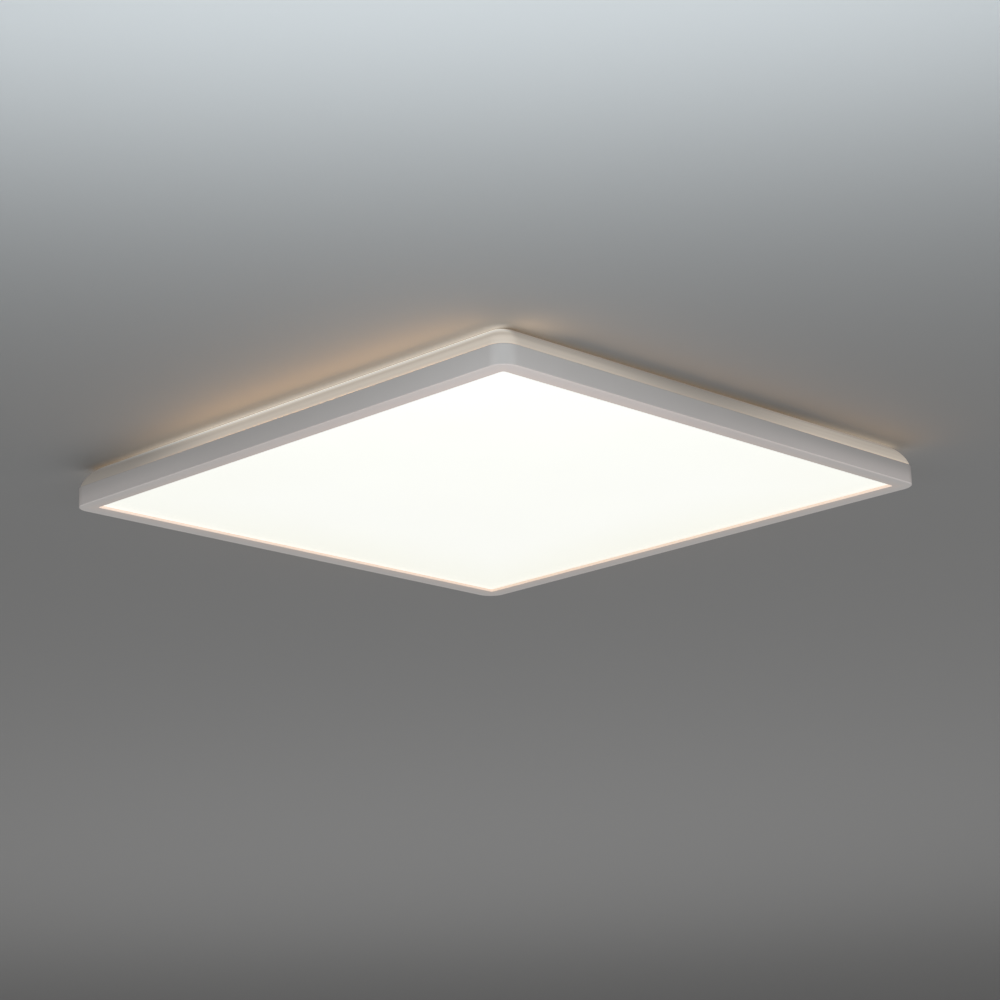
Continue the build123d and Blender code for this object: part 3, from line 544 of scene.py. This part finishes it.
# A finish: two tones, a span of roughness and a bump with its depth, all led by one surface group
def finish(name, dark, light, rough, bump, surface, **values):
    material = bpy.data.materials.new(name)
    material.use_nodes = True
    tree = material.node_tree
    shader = shader_of(material)
    pattern = set_inputs(add_node(tree, "ShaderNodeGroup", node_tree=surface), **values)
    tone = choose_colour(tree, pattern.outputs["Tone"], (*dark, 1.0), (*light, 1.0))
    sheen = add_node(tree, "ShaderNodeMapRange")
    set_inputs(sheen, From_Min=NOISE_LOW, From_Max=NOISE_HIGH, To_Min=rough[0], To_Max=rough[1])
    relief = set_inputs(add_node(tree, "ShaderNodeBump"), Strength=bump[0], Distance=bump[1] * MM)
    link(tree, pattern, "Sheen", sheen, "Value")
    link(tree, pattern, "Height", relief, "Height")
    feed(tree, shader.inputs["Base Color"], tone)
    link(tree, sheen, "Result", shader, "Roughness")
    link(tree, relief, "Normal", shader, "Normal")
    return material


def grey(value):
    return (value, value, value)


# Plastics of the mouldings
SATIN_TONES = ((0.66, 0.617, 0.592), (0.73, 0.688, 0.664))
SATIN_WHITE = finish("satin_white", *SATIN_TONES, (0.40, 0.50), (0.04, 0.02), GRAIN)
MILKY = finish("milky_shell", (0.78, 0.69, 0.60), (0.84, 0.75, 0.66), (0.34, 0.44), (0.02, 0.02), GRAIN)
MILKY_LID = finish("milky_lid", (0.78, 0.70, 0.615), (0.84, 0.76, 0.675), (0.38, 0.48), (0.10, 0.03), GRAIN)
NYLON = finish(
    "white_nylon", (0.74, 0.74, 0.71), (0.82, 0.82, 0.79), (0.35, 0.5), (0.15, 0.02), GRAIN, Clouds=40.0
)
BUTTON = finish(
    "orange_button", (0.62, 0.19, 0.03), (0.74, 0.26, 0.05), (0.3, 0.42), (0.15, 0.02), GRAIN, Clouds=90.0
)
CASE = finish(
    "driver_case", (0.028, 0.028, 0.03), (0.045, 0.045, 0.048),
    (0.45, 0.6), (0.3, 0.04), GRAIN, Grain=1500.0,
)
# Sheets, tapes and sleeves
FILM = finish("white_film", grey(0.86), grey(0.91), (0.5, 0.62), (0.05, 0.02), GRAIN, Clouds=9.0)
TAPE = finish(
    "winding_tape", (0.62, 0.38, 0.03), (0.74, 0.48, 0.05), (0.25, 0.4), (0.2, 0.03), BRUSHED, Along_X=60.0
)
SLEEVE = finish(
    "capacitor_sleeve", (0.012, 0.016, 0.05), (0.02, 0.026, 0.08),
    (0.2, 0.32), (0.08, 0.02), GRAIN, Clouds=80.0,
)
RUBBER = finish("black_rubber", grey(0.012), grey(0.026), (0.6, 0.75), (0.3, 0.03), GRAIN, Clouds=90.0)
# Boards, chips and cores
EPOXY = finish("chip_epoxy", grey(0.012), grey(0.03), (0.45, 0.6), (0.3, 0.02), GRAIN, Grain=4000.0)
FERRITE = finish(
    "ferrite", (0.02, 0.02, 0.022), (0.06, 0.06, 0.064), (0.4, 0.7), (0.4, 0.05), GRAIN, Clouds=150.0
)
BOARD = finish(
    "board_mask", (0.012, 0.11, 0.035), (0.02, 0.17, 0.06), (0.28, 0.42), (0.15, 0.02), GRAIN, Clouds=45.0
)
STRIP = finish(
    "strip_mask", (0.82, 0.82, 0.79), (0.88, 0.88, 0.85), (0.3, 0.42), (0.1, 0.02), GRAIN, Clouds=45.0
)
# Clear light guide
CLEAR = finish(
    "clear_guide", (0.86, 0.94, 0.95), (0.92, 0.97, 0.98), (0.02, 0.06), (0.02, 0.01), GRAIN, Clouds=8.0
)
set_inputs(shader_of(CLEAR), Transmission_Weight=1.0, IOR=1.49)
# Metals, of which the zinc has a dull patina that scatters part of the light
ALUMINIUM = finish("mill_aluminium", grey(0.66), grey(0.80), (0.28, 0.42), (0.12, 0.02), BRUSHED)
ZINC = finish("bright_zinc", (0.60, 0.615, 0.63), (0.74, 0.755, 0.77), (0.34, 0.50), (0.10, 0.02), SPANGLE)
BRASS = finish(
    "bare_brass", (0.58, 0.38, 0.13), (0.72, 0.50, 0.20), (0.25, 0.4), (0.1, 0.02), BRUSHED, Along_X=80.0
)
COPPER = finish(
    "enamelled_copper", (0.42, 0.14, 0.05), (0.56, 0.20, 0.08),
    (0.22, 0.35), (0.3, 0.05), BRUSHED, Along_X=60.0,
)
for metal in (ALUMINIUM, BRASS, COPPER):
    set_inputs(shader_of(metal), Metallic=1.0)
set_inputs(shader_of(ZINC), Metallic=0.6)
# Foams
FOAM_PALE = finish("pale_foam", grey(0.55), grey(0.72), (0.8, 0.95), (0.6, 0.15), FOAM)
FOAM_DARK = finish("dark_foam", grey(0.015), grey(0.035), (0.85, 0.95), (0.6, 0.15), FOAM, Cells=1100.0)


# Wire sleeves, one colour to each lead, with a paler tone worked out from it
SLEEVE_GAIN = 1.35
SLEEVE_LIFT = 0.01


def wire_sleeve(name, colour):
    light = tuple(min(1.0, part * SLEEVE_GAIN + SLEEVE_LIFT) for part in colour)
    return finish(name, colour, light, (0.34, 0.48), (0.12, 0.02), GRAIN, Clouds=70.0)


LEAD_SLEEVES = {
    "live_lead": wire_sleeve("brown_sleeve", (0.10, 0.035, 0.012)),
    "neutral_lead": wire_sleeve("blue_sleeve", (0.015, 0.07, 0.34)),
    "positive_lead": wire_sleeve("red_sleeve", (0.40, 0.012, 0.01)),
    "negative_lead": wire_sleeve("black_sleeve", (0.006, 0.006, 0.006)),
    "corner_jumpers": wire_sleeve("white_sleeve", (0.62, 0.62, 0.58)),
}

# Lit pieces: the opal sheet and the LEDs shine by themselves, and the edge of the frame's window carries
# painted light from the sheet
OPAL = finish("opal_sheet", (0.66, 0.66, 0.63), (0.72, 0.72, 0.69), (0.45, 0.55), (0.04, 0.02), GRAIN)
PHOSPHOR = finish("led_phosphor", (0.80, 0.55, 0.10), (0.86, 0.62, 0.14), (0.3, 0.4), (0.05, 0.02), GRAIN)
LIT_LIP = finish("lit_lip", *SATIN_TONES, (0.40, 0.50), (0.04, 0.02), GRAIN)
set_inputs(shader_of(LIT_LIP), Emission_Color=(1.0, 0.59, 0.35, 1.0), Emission_Strength=0.38)
set_inputs(shader_of(PHOSPHOR), Emission_Color=(1.0, 0.88, 0.62, 1.0), Emission_Strength=2.0)


def light_sheet():
    tree = OPAL.node_tree
    glow = add_node(tree, "ShaderNodeGroup", node_tree=SHEET_GLOW)
    link(tree, glow, "Glow", shader_of(OPAL), "Emission Color")
    set_inputs(shader_of(OPAL), Emission_Strength=0.61)


# Stray light falls on the ceiling beside the lamp, while the face itself shows only its painted glow,
# highlights and light
def light_moulding(material, surface, face, stray):
    tree = material.node_tree
    glow = add_node(tree, "ShaderNodeGroup", node_tree=surface)
    path = add_node(tree, "ShaderNodeLightPath")
    shown = choose_colour(tree, path.outputs["Is Camera Ray"], glow.outputs[stray], glow.outputs[face])
    feed(tree, shader_of(material).inputs["Emission Color"], shown)
    set_inputs(shader_of(material), Emission_Strength=1.0)


light_sheet()
light_moulding(MILKY, SHELL_GLOW, "Veil", "Leak")
light_moulding(SATIN_WHITE, FRAME_GLOW, "Painted Light", "Spill")

FINISH_OF = {
    "bezel_frame": SATIN_WHITE,
    "rear_shell": MILKY,
    "diffuser": OPAL,
    "terminal_lid": MILKY_LID,
    "light_guide": CLEAR,
    "reflector_sheet": FILM,
    "back_plate": ALUMINIUM,
    "ceiling_bracket": ZINC,
    "lid_hinge_pin": ZINC,
    "rail_screws": ZINC,
    "block_screws": ZINC,
    "driver_screws": ZINC,
    "clamp_springs": ZINC,
    "terminal_contacts": BRASS,
    "terminal_block": NYLON,
    "driver_connectors": NYLON,
    "lead_clips": NYLON,
    "live_button": BUTTON,
    "neutral_button": BUTTON,
    "driver_base": CASE,
    "driver_cover": CASE,
    "driver_board": BOARD,
    "driver_capacitors": SLEEVE,
    "driver_choke": COPPER,
    "driver_chips": EPOXY,
    "transformer_core": FERRITE,
    "transformer_winding": TAPE,
    "lead_grommet": RUBBER,
    "ceiling_pads": FOAM_PALE,
    "press_pads": FOAM_DARK,
    **LEAD_SLEEVES,
}
for side in ("east", "north", "west", "south"):
    FINISH_OF[f"led_rail_{side}"] = ALUMINIUM
    FINISH_OF[f"led_strip_{side}"] = STRIP
    FINISH_OF[f"leds_{side}"] = PHOSPHOR

for name, node in nodes.items():
    node.data.materials.clear()
    node.data.materials.append(FINISH_OF[name])


# Hand modelling in short: nothing selected, one piece picked, and edit mode on it
def clear_selection():
    if bpy.context.mode != "OBJECT":
        bpy.ops.object.mode_set(mode="OBJECT")
    bpy.ops.object.select_all(action="DESELECT")


def pick_piece(piece):
    clear_selection()
    piece.select_set(True)
    bpy.context.view_layer.objects.active = piece


def open_piece(piece):
    pick_piece(piece)
    bpy.ops.object.mode_set(mode="EDIT")
    bpy.ops.mesh.select_mode(type="VERT")
    bpy.ops.mesh.select_all(action="DESELECT")


# Rounds the edges whose ends both pass a test on the piece just made
def round_edges(piece, test, offset, steps):
    open_piece(piece)
    bpy.ops.mesh.select_mode(type="EDGE")
    clear_selection()
    for edge in piece.data.edges:
        edge.select = test(*[piece.data.vertices[number].co for number in edge.vertices])
    bpy.ops.object.mode_set(mode="EDIT")
    bpy.ops.mesh.bevel(offset=offset * MM, segments=steps, affect="EDGES")
    clear_selection()


def new_piece(name):
    piece = bpy.context.object
    piece.name = name
    piece.data.name = name
    return piece


# Adds a rounded square loop to the piece being edited and keeps it as a vertex group
def add_ring(half, corner, level):
    bpy.ops.mesh.select_all(action="DESELECT")
    bpy.ops.mesh.primitive_plane_add(size=2 * half * MM, location=(0, 0, level * MM))
    bpy.ops.mesh.bevel(offset=corner * MM, segments=CORNER_STEPS, affect="VERTICES")
    bpy.ops.mesh.select_linked()
    bpy.ops.object.vertex_group_add()
    bpy.ops.object.vertex_group_assign()
    bpy.ops.mesh.delete(type="ONLY_FACE")


def pick_rings(piece, *numbers):
    bpy.ops.mesh.select_all(action="DESELECT")
    for number in numbers:
        piece.vertex_groups.active_index = number
        bpy.ops.object.vertex_group_select()


# Skin over a chain of rings, either closed round on itself or capped at both ends
def ring_skin(name, rings, capped):
    clear_selection()
    bpy.ops.mesh.primitive_plane_add(size=MM)
    piece = new_piece(name)
    open_piece(piece)
    bpy.ops.mesh.select_all(action="SELECT")
    bpy.ops.mesh.delete(type="VERT")
    for ring in rings:
        add_ring(*ring)
    last = len(rings) - 1
    pairs = [(number, number + 1) for number in range(last)]
    if not capped:
        pairs.append((last, 0))
    # Flat pairs go first, while no face lies beside them
    pairs.sort(key=lambda pair: abs(rings[pair[0]][2] - rings[pair[1]][2]))
    for pair in pairs:
        pick_rings(piece, *pair)
        bpy.ops.mesh.bridge_edge_loops()
    if capped:
        for number in (0, last):
            pick_rings(piece, number)
            bpy.ops.mesh.edge_face_add()
    bpy.ops.mesh.select_all(action="SELECT")
    bpy.ops.mesh.normals_make_consistent(inside=False)
    clear_selection()
    piece.vertex_groups.clear()
    return piece


BLOCK_CORNER_STEPS = 4
BLOCK_EDGE_STEPS = 2
LEAST_RISE = 0.1


def is_upright(start, end):
    return abs(start.z - end.z) > LEAST_RISE * MM


# Block between two corners in millimetres, with its upright or all edges rounded
def shaped_block(name, low, high, upright=0.0, edges=0.0):
    clear_selection()
    middle = [(a + b) / 2 * MM for a, b in zip(low, high)]
    bpy.ops.mesh.primitive_cube_add(size=1, location=middle)
    piece = new_piece(name)
    piece.scale = [(b - a) * MM for a, b in zip(low, high)]
    bpy.ops.object.transform_apply(location=True, rotation=True, scale=True)
    if upright:
        round_edges(piece, is_upright, upright, BLOCK_CORNER_STEPS)
    if edges:
        open_piece(piece)
        bpy.ops.mesh.select_mode(type="EDGE")
        bpy.ops.mesh.select_all(action="SELECT")
        bpy.ops.mesh.bevel(offset=edges * MM, segments=BLOCK_EDGE_STEPS, affect="EDGES")
    clear_selection()
    return piece


UPRIGHT = (0, 0, 0)
LEVEL = (0, math.pi / 2, 0)


def round_bar(name, middle, radius, length, turn, sides=32):
    clear_selection()
    place = [part * MM for part in middle]
    bpy.ops.mesh.primitive_cylinder_add(
        vertices=sides, radius=radius * MM, depth=length * MM, location=place, rotation=turn
    )
    piece = new_piece(name)
    bpy.ops.object.transform_apply(location=True, rotation=True, scale=True)
    return piece


def combine(piece, other, operation):
    pick_piece(piece)
    change = piece.modifiers.new(operation.lower(), "BOOLEAN")
    change.operation = operation
    change.solver = "EXACT"
    change.object = other
    bpy.ops.object.modifier_apply(modifier=change.name)
    bpy.data.objects.remove(other, do_unlink=True)


def join_on(piece, other):
    combine(piece, other, "UNION")


def cut_out(piece, other):
    combine(piece, other, "DIFFERENCE")


def soften(piece, width, angle=35.0, steps=2):
    pick_piece(piece)
    bevel = piece.modifiers.new("soften", "BEVEL")
    bevel.width = width * MM
    bevel.segments = steps
    bevel.limit_method = "ANGLE"
    bevel.angle_limit = math.radians(angle)
    bpy.ops.object.modifier_apply(modifier=bevel.name)


# Smooth shading up to an angle, with the broad faces kept flat
def smooth(piece, angle=30.0):
    pick_piece(piece)
    bpy.ops.object.shade_smooth_by_angle(angle=math.radians(angle))
    even = piece.modifiers.new("even_faces", "WEIGHTED_NORMAL")
    even.keep_sharp = True
    even.weight = 80
    bpy.ops.object.modifier_apply(modifier=even.name)


def settle(piece, node, body, *materials):
    piece.data.materials.clear()
    for material in materials:
        piece.data.materials.append(material)
    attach(piece, body)
    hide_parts(node)


# Quarter round between two faces: rise and inset from one tangent to the other
def quarter(radius, steps):
    turns = [math.pi / 2 * count / steps for count in range(steps + 1)]
    return [(radius * (1 - math.sin(turn)), radius * (1 - math.cos(turn))) for turn in turns]


def bead_corners(along):
    reach, length, height = BEAD_SIZE
    low = (FRAME_INNER_HALF - reach, along - length / 2, BEAD_LEVEL - height / 2)
    high = (FRAME_INNER_HALF + BEAD_ROOT, along + length / 2, BEAD_LEVEL + height / 2)
    return low, high


# Bezel frame: wall and lip in one skin, with snap beads inside
def model_bezel_frame():
    rings = []
    for rise, inset in reversed(quarter(FRAME_EDGE, LIP_EDGE_STEPS)):
        rings.append((LAMP_HALF - inset, CORNER - inset, LIP_FACE + rise))
    for rise, inset in quarter(FRAME_EDGE, EDGE_STEPS):
        rings.append((LAMP_HALF - inset, CORNER - inset, FRAME_TOP - rise))
    inner_corner = CORNER - LAMP_HALF + FRAME_INNER_HALF
    rings.append((FRAME_INNER_HALF, inner_corner, FRAME_TOP))
    rings.append((FRAME_INNER_HALF, inner_corner, LIP_BACK))
    rings.append((WINDOW_HALF, WINDOW_CORNER, LIP_BACK))
    for rise, inset in quarter(WINDOW_EDGE, EDGE_STEPS):
        rings.append((WINDOW_HALF + inset, WINDOW_CORNER + inset, LIP_FACE + rise))
    piece = ring_skin("bezel_moulding", rings, capped=False)
    for turn in range(4):
        for along in BEADS_ALONG:
            bead = shaped_block("snap_bead", *bead_corners(along), edges=BEAD_EDGE)
            pick_piece(bead)
            bead.rotation_euler = (0, 0, turn * math.pi / 2)
            bpy.ops.object.transform_apply(location=True, rotation=True, scale=True)
            piece.select_set(True)
            bpy.context.view_layer.objects.active = piece
            bpy.ops.object.join()
    smooth(piece)
    settle(piece, "bezel_frame", "lamp", SATIN_WHITE, LIT_LIP)
    # The window's upright edge carries painted light from the sheet beside it
    window = (WINDOW_HALF + WINDOW_EDGE / 2) * MM
    for face in piece.data.polygons:
        reach = max(abs(face.center.x), abs(face.center.y))
        upright = abs(face.normal.z) < STEEP_FACE
        if upright and reach < window and face.center.z < LIP_BACK * MM:
            face.material_index = 1


# Half width of the shell at a level, on the flank's arc or set inwards from it
def flank_half(level, inward):
    chord_x = BACK_HALF - RIM_HALF
    chord_z = SHELL_BACK - FRAME_TOP
    chord = math.hypot(chord_x, chord_z)
    depth = math.sqrt(FLANK_RADIUS**2 - (chord / 2) ** 2)
    centre_x = (RIM_HALF + BACK_HALF) / 2 - depth * chord_z / chord
    centre_z = (FRAME_TOP + SHELL_BACK) / 2 + depth * chord_x / chord
    return centre_x + math.sqrt((FLANK_RADIUS - inward) ** 2 - (level - centre_z) ** 2)


def flank_corner(level):
    share = (level - FRAME_TOP) / (SHELL_BACK - FRAME_TOP)
    return RIM_CORNER + (BACK_CORNER - RIM_CORNER) * share


def flank_rings(low, top, inward, count):
    rings = []
    for step in range(count + 1):
        level = low + (top - low) * step / count
        rings.append((flank_half(level, inward), flank_corner(level) - inward, level))
    return rings


# Block from a lower corner and two far sides up to a level
def block_up_to(name, corners, level, upright=0.0):
    low, far = corners
    return shaped_block(name, low, (*far, level), upright=upright)


# Hollow skin of the shell, from the roof's inside down to the skirt and up over the flank
def shell_skin():
    inner_skirt = (SKIRT_HALF - SKIRT_WALL, SKIRT_CORNER - SKIRT_WALL)
    skirt_root = FRAME_TOP + SKIRT_ROOT
    rings = list(reversed(flank_rings(skirt_root, SHELL_ROOF, SHELL_WALL, INNER_FLANK_STEPS)))
    rings.append((*inner_skirt, skirt_root))
    rings.append((*inner_skirt, SKIRT_BOTTOM))
    rings.append((SKIRT_HALF, SKIRT_CORNER, SKIRT_BOTTOM))
    rings.append((SKIRT_HALF, SKIRT_CORNER, FRAME_TOP))
    rings += flank_rings(FRAME_TOP, SHELL_BACK, 0.0, FLANK_STEPS)
    return ring_skin("shell_moulding", rings, capped=True)


def add_ledges(piece):
    inner, outer = LEDGE_SPAN
    low, high = LEDGE_LEVELS
    for x in (-LEDGE_X, LEDGE_X):
        for start, end in ((inner, outer), (-outer, -inner)):
            ledge = shaped_block("ledge", (x - LEDGE_HALF, start, low), (x + LEDGE_HALF, end, high))
            join_on(piece, ledge)


def cut_lead_hole(piece):
    start, end = LEAD_HOLE_SPAN
    for y in LEAD_HOLE_SPAN:
        place = (LEAD_HOLE_X, y, LEAD_HOLE_LEVEL)
        cut_out(piece, round_bar("hole", place, LEAD_HOLE_RADIUS, LEAD_HOLE_LENGTH, LEVEL, sides=40))
    reach = LEAD_HOLE_LENGTH / 2
    low = (LEAD_HOLE_X - reach, start, LEAD_HOLE_LEVEL - LEAD_HOLE_RADIUS)
    high = (LEAD_HOLE_X + reach, end, LEAD_HOLE_LEVEL + LEAD_HOLE_RADIUS)
    cut_out(piece, shaped_block("hole", low, high))


def add_press_posts(piece):
    for a, b in ((PRESS_POST_FAR, PRESS_POST_NEAR), (PRESS_POST_NEAR, PRESS_POST_FAR)):
        for x, y in ((a, b), (a, -b), (-a, b), (-a, -b)):
            place = (x, y, PRESS_POST_LEVEL)
            join_on(piece, round_bar("post", place, PRESS_POST_RADIUS, PRESS_POST_LENGTH, UPRIGHT))


def cut_snap_windows(piece):
    across, length, height = SNAP_WINDOW_HALF
    for along in BEADS_ALONG:
        for edge in (-FRAME_INNER_HALF, FRAME_INNER_HALF):
            for x, y, wide, deep in ((edge, along, across, length), (along, edge, length, across)):
                low = (x - wide, y - deep, BEAD_LEVEL - height)
                high = (x + wide, y + deep, BEAD_LEVEL + height)
                cut_out(piece, shaped_block("snap_window", low, high))


# Rear shell: hollow moulding with the bracket recess, the terminal bay and the posts
def model_rear_shell():
    piece = shell_skin()
    inside_roof = SHELL_BACK - SHELL_WALL / 2
    join_on(piece, block_up_to("tub", RECESS_TUB, inside_roof, upright=RECESS_TUB_CORNER))
    join_on(piece, block_up_to("tub", BAY_TUB, inside_roof, upright=BAY_TUB_CORNER))
    cut_out(piece, block_up_to("hollow", RECESS, ABOVE_BACK, upright=RECESS_CORNER))
    cut_out(piece, block_up_to("hollow", BAY, ABOVE_BACK))
    cut_out(piece, block_up_to("hollow", LID_SEAT, ABOVE_BACK))
    add_ledges(piece)
    for side in (-1, 1):
        ear_place = (side * EAR_X, HINGE_Y, HINGE_LEVEL)
        join_on(piece, round_bar("ear", ear_place, BARREL_RADIUS, EAR_LENGTH, LEVEL))
        post_place = (side * SCREW_X, SCREW_Y, SCREW_POST_LEVEL)
        join_on(piece, round_bar("post", post_place, SCREW_POST_RADIUS, SCREW_POST_LENGTH, UPRIGHT))
    cut_lead_hole(piece)
    add_press_posts(piece)
    cut_snap_windows(piece)
    soften(piece, SHELL_EDGE)
    smooth(piece)
    settle(piece, "rear_shell", "lamp", MILKY)


# Terminal lid: slab with a finger notch and grip grooves, and the hinge barrel
def model_terminal_lid():
    piece = shaped_block("lid_moulding", LID_LOW, LID_HIGH, upright=LID_CORNER)
    web_half = BARREL_LENGTH / 2
    web_low = (-web_half, WEB_START, SHELL_ROOF)
    web_high = (web_half, HINGE_Y, SHELL_BACK)
    join_on(piece, shaped_block("web", web_low, web_high))
    hinge = (0, HINGE_Y, HINGE_LEVEL)
    join_on(piece, round_bar("barrel", hinge, BARREL_RADIUS, BARREL_LENGTH, LEVEL, sides=40))
    cut_out(piece, round_bar("bore", hinge, BORE_RADIUS, BORE_LENGTH, LEVEL, sides=24))
    notch = (0, NOTCH_Y, NOTCH_LEVEL)
    cut_out(piece, round_bar("notch", notch, NOTCH_RADIUS, NOTCH_LENGTH, UPRIGHT, sides=96))
    wide, deep = GROOVE_HALF
    for y in GROOVE_ROWS:
        low = (-wide, y - deep, SHELL_BACK - GROOVE_DEPTH)
        high = (wide, y + deep, SHELL_BACK + ABOVE_BACK)
        cut_out(piece, shaped_block("groove", low, high, upright=GROOVE_CORNER))
    soften(piece, LID_EDGE)
    smooth(piece)
    settle(piece, "terminal_lid", "terminal_lid", MILKY_LID)


def is_head_top(start, end):
    return min(start.z, end.z) > HEAD_LEVEL * MM


# One screw of the terminal block: domed head with a cross recess, and the shank
def model_screw(x):
    piece = round_bar("screw", (x, SCREW_Y, HEAD_LEVEL), HEAD_RADIUS, HEAD_HEIGHT, UPRIGHT, sides=40)
    round_edges(piece, is_head_top, HEAD_DOME, DOME_STEPS)
    shank_place = (x, SCREW_Y, SHANK_LEVEL)
    join_on(piece, round_bar("shank", shank_place, SHANK_RADIUS, SHANK_LENGTH, UPRIGHT, sides=24))
    bottom, top = CROSS_LEVELS
    for wide, deep in (CROSS_HALF, reversed(CROSS_HALF)):
        low = (x - wide, SCREW_Y - deep, bottom)
        high = (x + wide, SCREW_Y + deep, top)
        cut_out(piece, shaped_block("slot", low, high))
    return piece


def model_block_screws():
    pieces = [model_screw(side * SCREW_X) for side in (-1, 1)]
    clear_selection()
    for piece in pieces:
        piece.select_set(True)
    bpy.context.view_layer.objects.active = pieces[0]
    bpy.ops.object.join()
    piece = new_piece("block_screw_pair")
    soften(piece, SCREW_EDGE, angle=40.0, steps=1)
    smooth(piece)
    settle(piece, "block_screws", "lamp", ZINC)


# Nodes that keep their own solid with softened edges: the body that each rides on, and the width
SOFT_NODES = {
    "ceiling_bracket": ("ceiling_bracket", 0.2),
    "ceiling_pads": ("lamp", 0.15),
    "terminal_block": ("lamp", 0.2),
    "live_button": ("live_button", 0.2),
    "neutral_button": ("neutral_button", 0.2),
    "lid_hinge_pin": ("lamp", 0.15),
    "lead_grommet": ("lamp", 0.2),
    "driver_cover": ("lamp", 0.3),
    "lead_clips": ("lamp", 0.2),
}
SEAM_GAP = 0.002
FLAT_ANGLE = 0.5


# Copy of a node's own mesh with its seams closed, its flats whole and its edges softened
def soften_node(node, body, width):
    source = nodes[node]
    piece = bpy.data.objects.new(f"soft_{node}", source.data.copy())
    bpy.context.scene.collection.objects.link(piece)
    piece.data.transform(source.matrix_world)
    open_piece(piece)
    bpy.ops.mesh.customdata_custom_splitnormals_clear()
    bpy.ops.mesh.select_all(action="SELECT")
    bpy.ops.mesh.remove_doubles(threshold=SEAM_GAP * MM)
    bpy.ops.mesh.dissolve_limited(angle_limit=math.radians(FLAT_ANGLE))
    bpy.ops.mesh.normals_make_consistent(inside=False)
    soften(piece, width)
    smooth(piece)
    settle(piece, node, body, FINISH_OF[node])


model_bezel_frame()
model_rear_shell()
model_terminal_lid()
model_block_screws()
for name, (body, width) in SOFT_NODES.items():
    soften_node(name, body, width)


# The ceiling faces down, is clear from above, and keeps no light from the back of the lamp
def hang_ceiling(sheet, tree, shader):
    open_piece(sheet)
    bpy.ops.mesh.select_all(action="SELECT")
    bpy.ops.mesh.flip_normals()
    clear_selection()
    clear = add_node(tree, "ShaderNodeBsdfTransparent")
    choose = add_node(tree, "ShaderNodeMixShader")
    facing = add_node(tree, "ShaderNodeNewGeometry")
    link(tree, facing, "Backfacing", choose, 0)
    link(tree, shader, 0, choose, 1)
    link(tree, clear, 0, choose, 2)
    link(tree, choose, 0, tree.nodes["Material Output"], "Surface")
    for kind in ("diffuse", "glossy", "transmission", "shadow"):
        setattr(sheet, f"visible_{kind}", False)


# Ceiling and floor of the studio, in metres
def stage_sheet(name, size, level, colour, glow=0.0, hung=False):
    clear_selection()
    bpy.ops.mesh.primitive_plane_add(size=size, location=(0, 0, level))
    sheet = bpy.context.object
    sheet.name = name
    material = bpy.data.materials.new(name)
    material.use_nodes = True
    shader = shader_of(material)
    set_inputs(shader, Base_Color=(*colour, 1.0), Roughness=0.85)
    set_inputs(shader, Emission_Color=(1.0, 0.99, 0.98, 1.0), Emission_Strength=glow)
    if hung:
        hang_ceiling(sheet, material.node_tree, shader)
    sheet.data.materials.append(material)


stage_sheet("studio_ceiling", size=24.0, level=-0.0005, colour=grey(0.285), hung=True)
stage_sheet("studio_floor", size=80.0, level=-2.4, colour=(0.74, 0.735, 0.73), glow=0.1)


# Soft oval light, in metres: its long side lies level, and it is aimed at a spot of the ceiling
def soft_light(name, place, aim, size, power, colour):
    data = bpy.data.lights.new(name, "AREA")
    data.shape = "ELLIPSE"
    data.size, data.size_y = size
    data.energy = power
    data.color = colour
    lamp = bpy.data.objects.new(name, data)
    bpy.context.scene.collection.objects.link(lamp)
    back = (Vector(place) - Vector((*aim, 0.0))).normalized()
    side = Vector((CAMERA_RIGHT.x, CAMERA_RIGHT.y, 0)).normalized()
    side = (side - back * side.dot(back)).normalized()
    turn = Matrix((side, back.cross(side), back)).transposed().to_4x4()
    lamp.matrix_world = Matrix.Translation(place) @ turn
    lamp.visible_camera = False


MIDDLE = (0.0, 0.0)
NEAR_SPOT = (-0.596, -0.572)
FAR_SPOT = (1.3, 1.3)
WARM_WHITE = (1.0, 0.98, 0.96)
COOL_WHITE = (0.86, 0.95, 1.0)
WHITE = (1.0, 1.0, 1.0)
soft_light("right_key", (0.9, -0.9, -0.9), aim=MIDDLE, size=(0.9, 0.9), power=0.9, colour=WARM_WHITE)
soft_light("near_fill", (*NEAR_SPOT, -0.35), aim=NEAR_SPOT, size=(1.1, 0.25), power=5.25, colour=COOL_WHITE)
soft_light("far_fill", (*FAR_SPOT, -1.2), aim=FAR_SPOT, size=(2.6, 2.0), power=7.4, colour=WHITE)
soft_light("back_light", (1.9, 1.9, 0.72), aim=MIDDLE, size=(0.6, 0.4), power=80.0, colour=WHITE)

world = bpy.data.worlds.new("studio")
world.use_nodes = True
set_inputs(world.node_tree.nodes["Background"], Color=(*grey(0.22), 1.0), Strength=1.0)
bpy.context.scene.world = world
bpy.context.scene.view_settings.view_transform = "Standard"
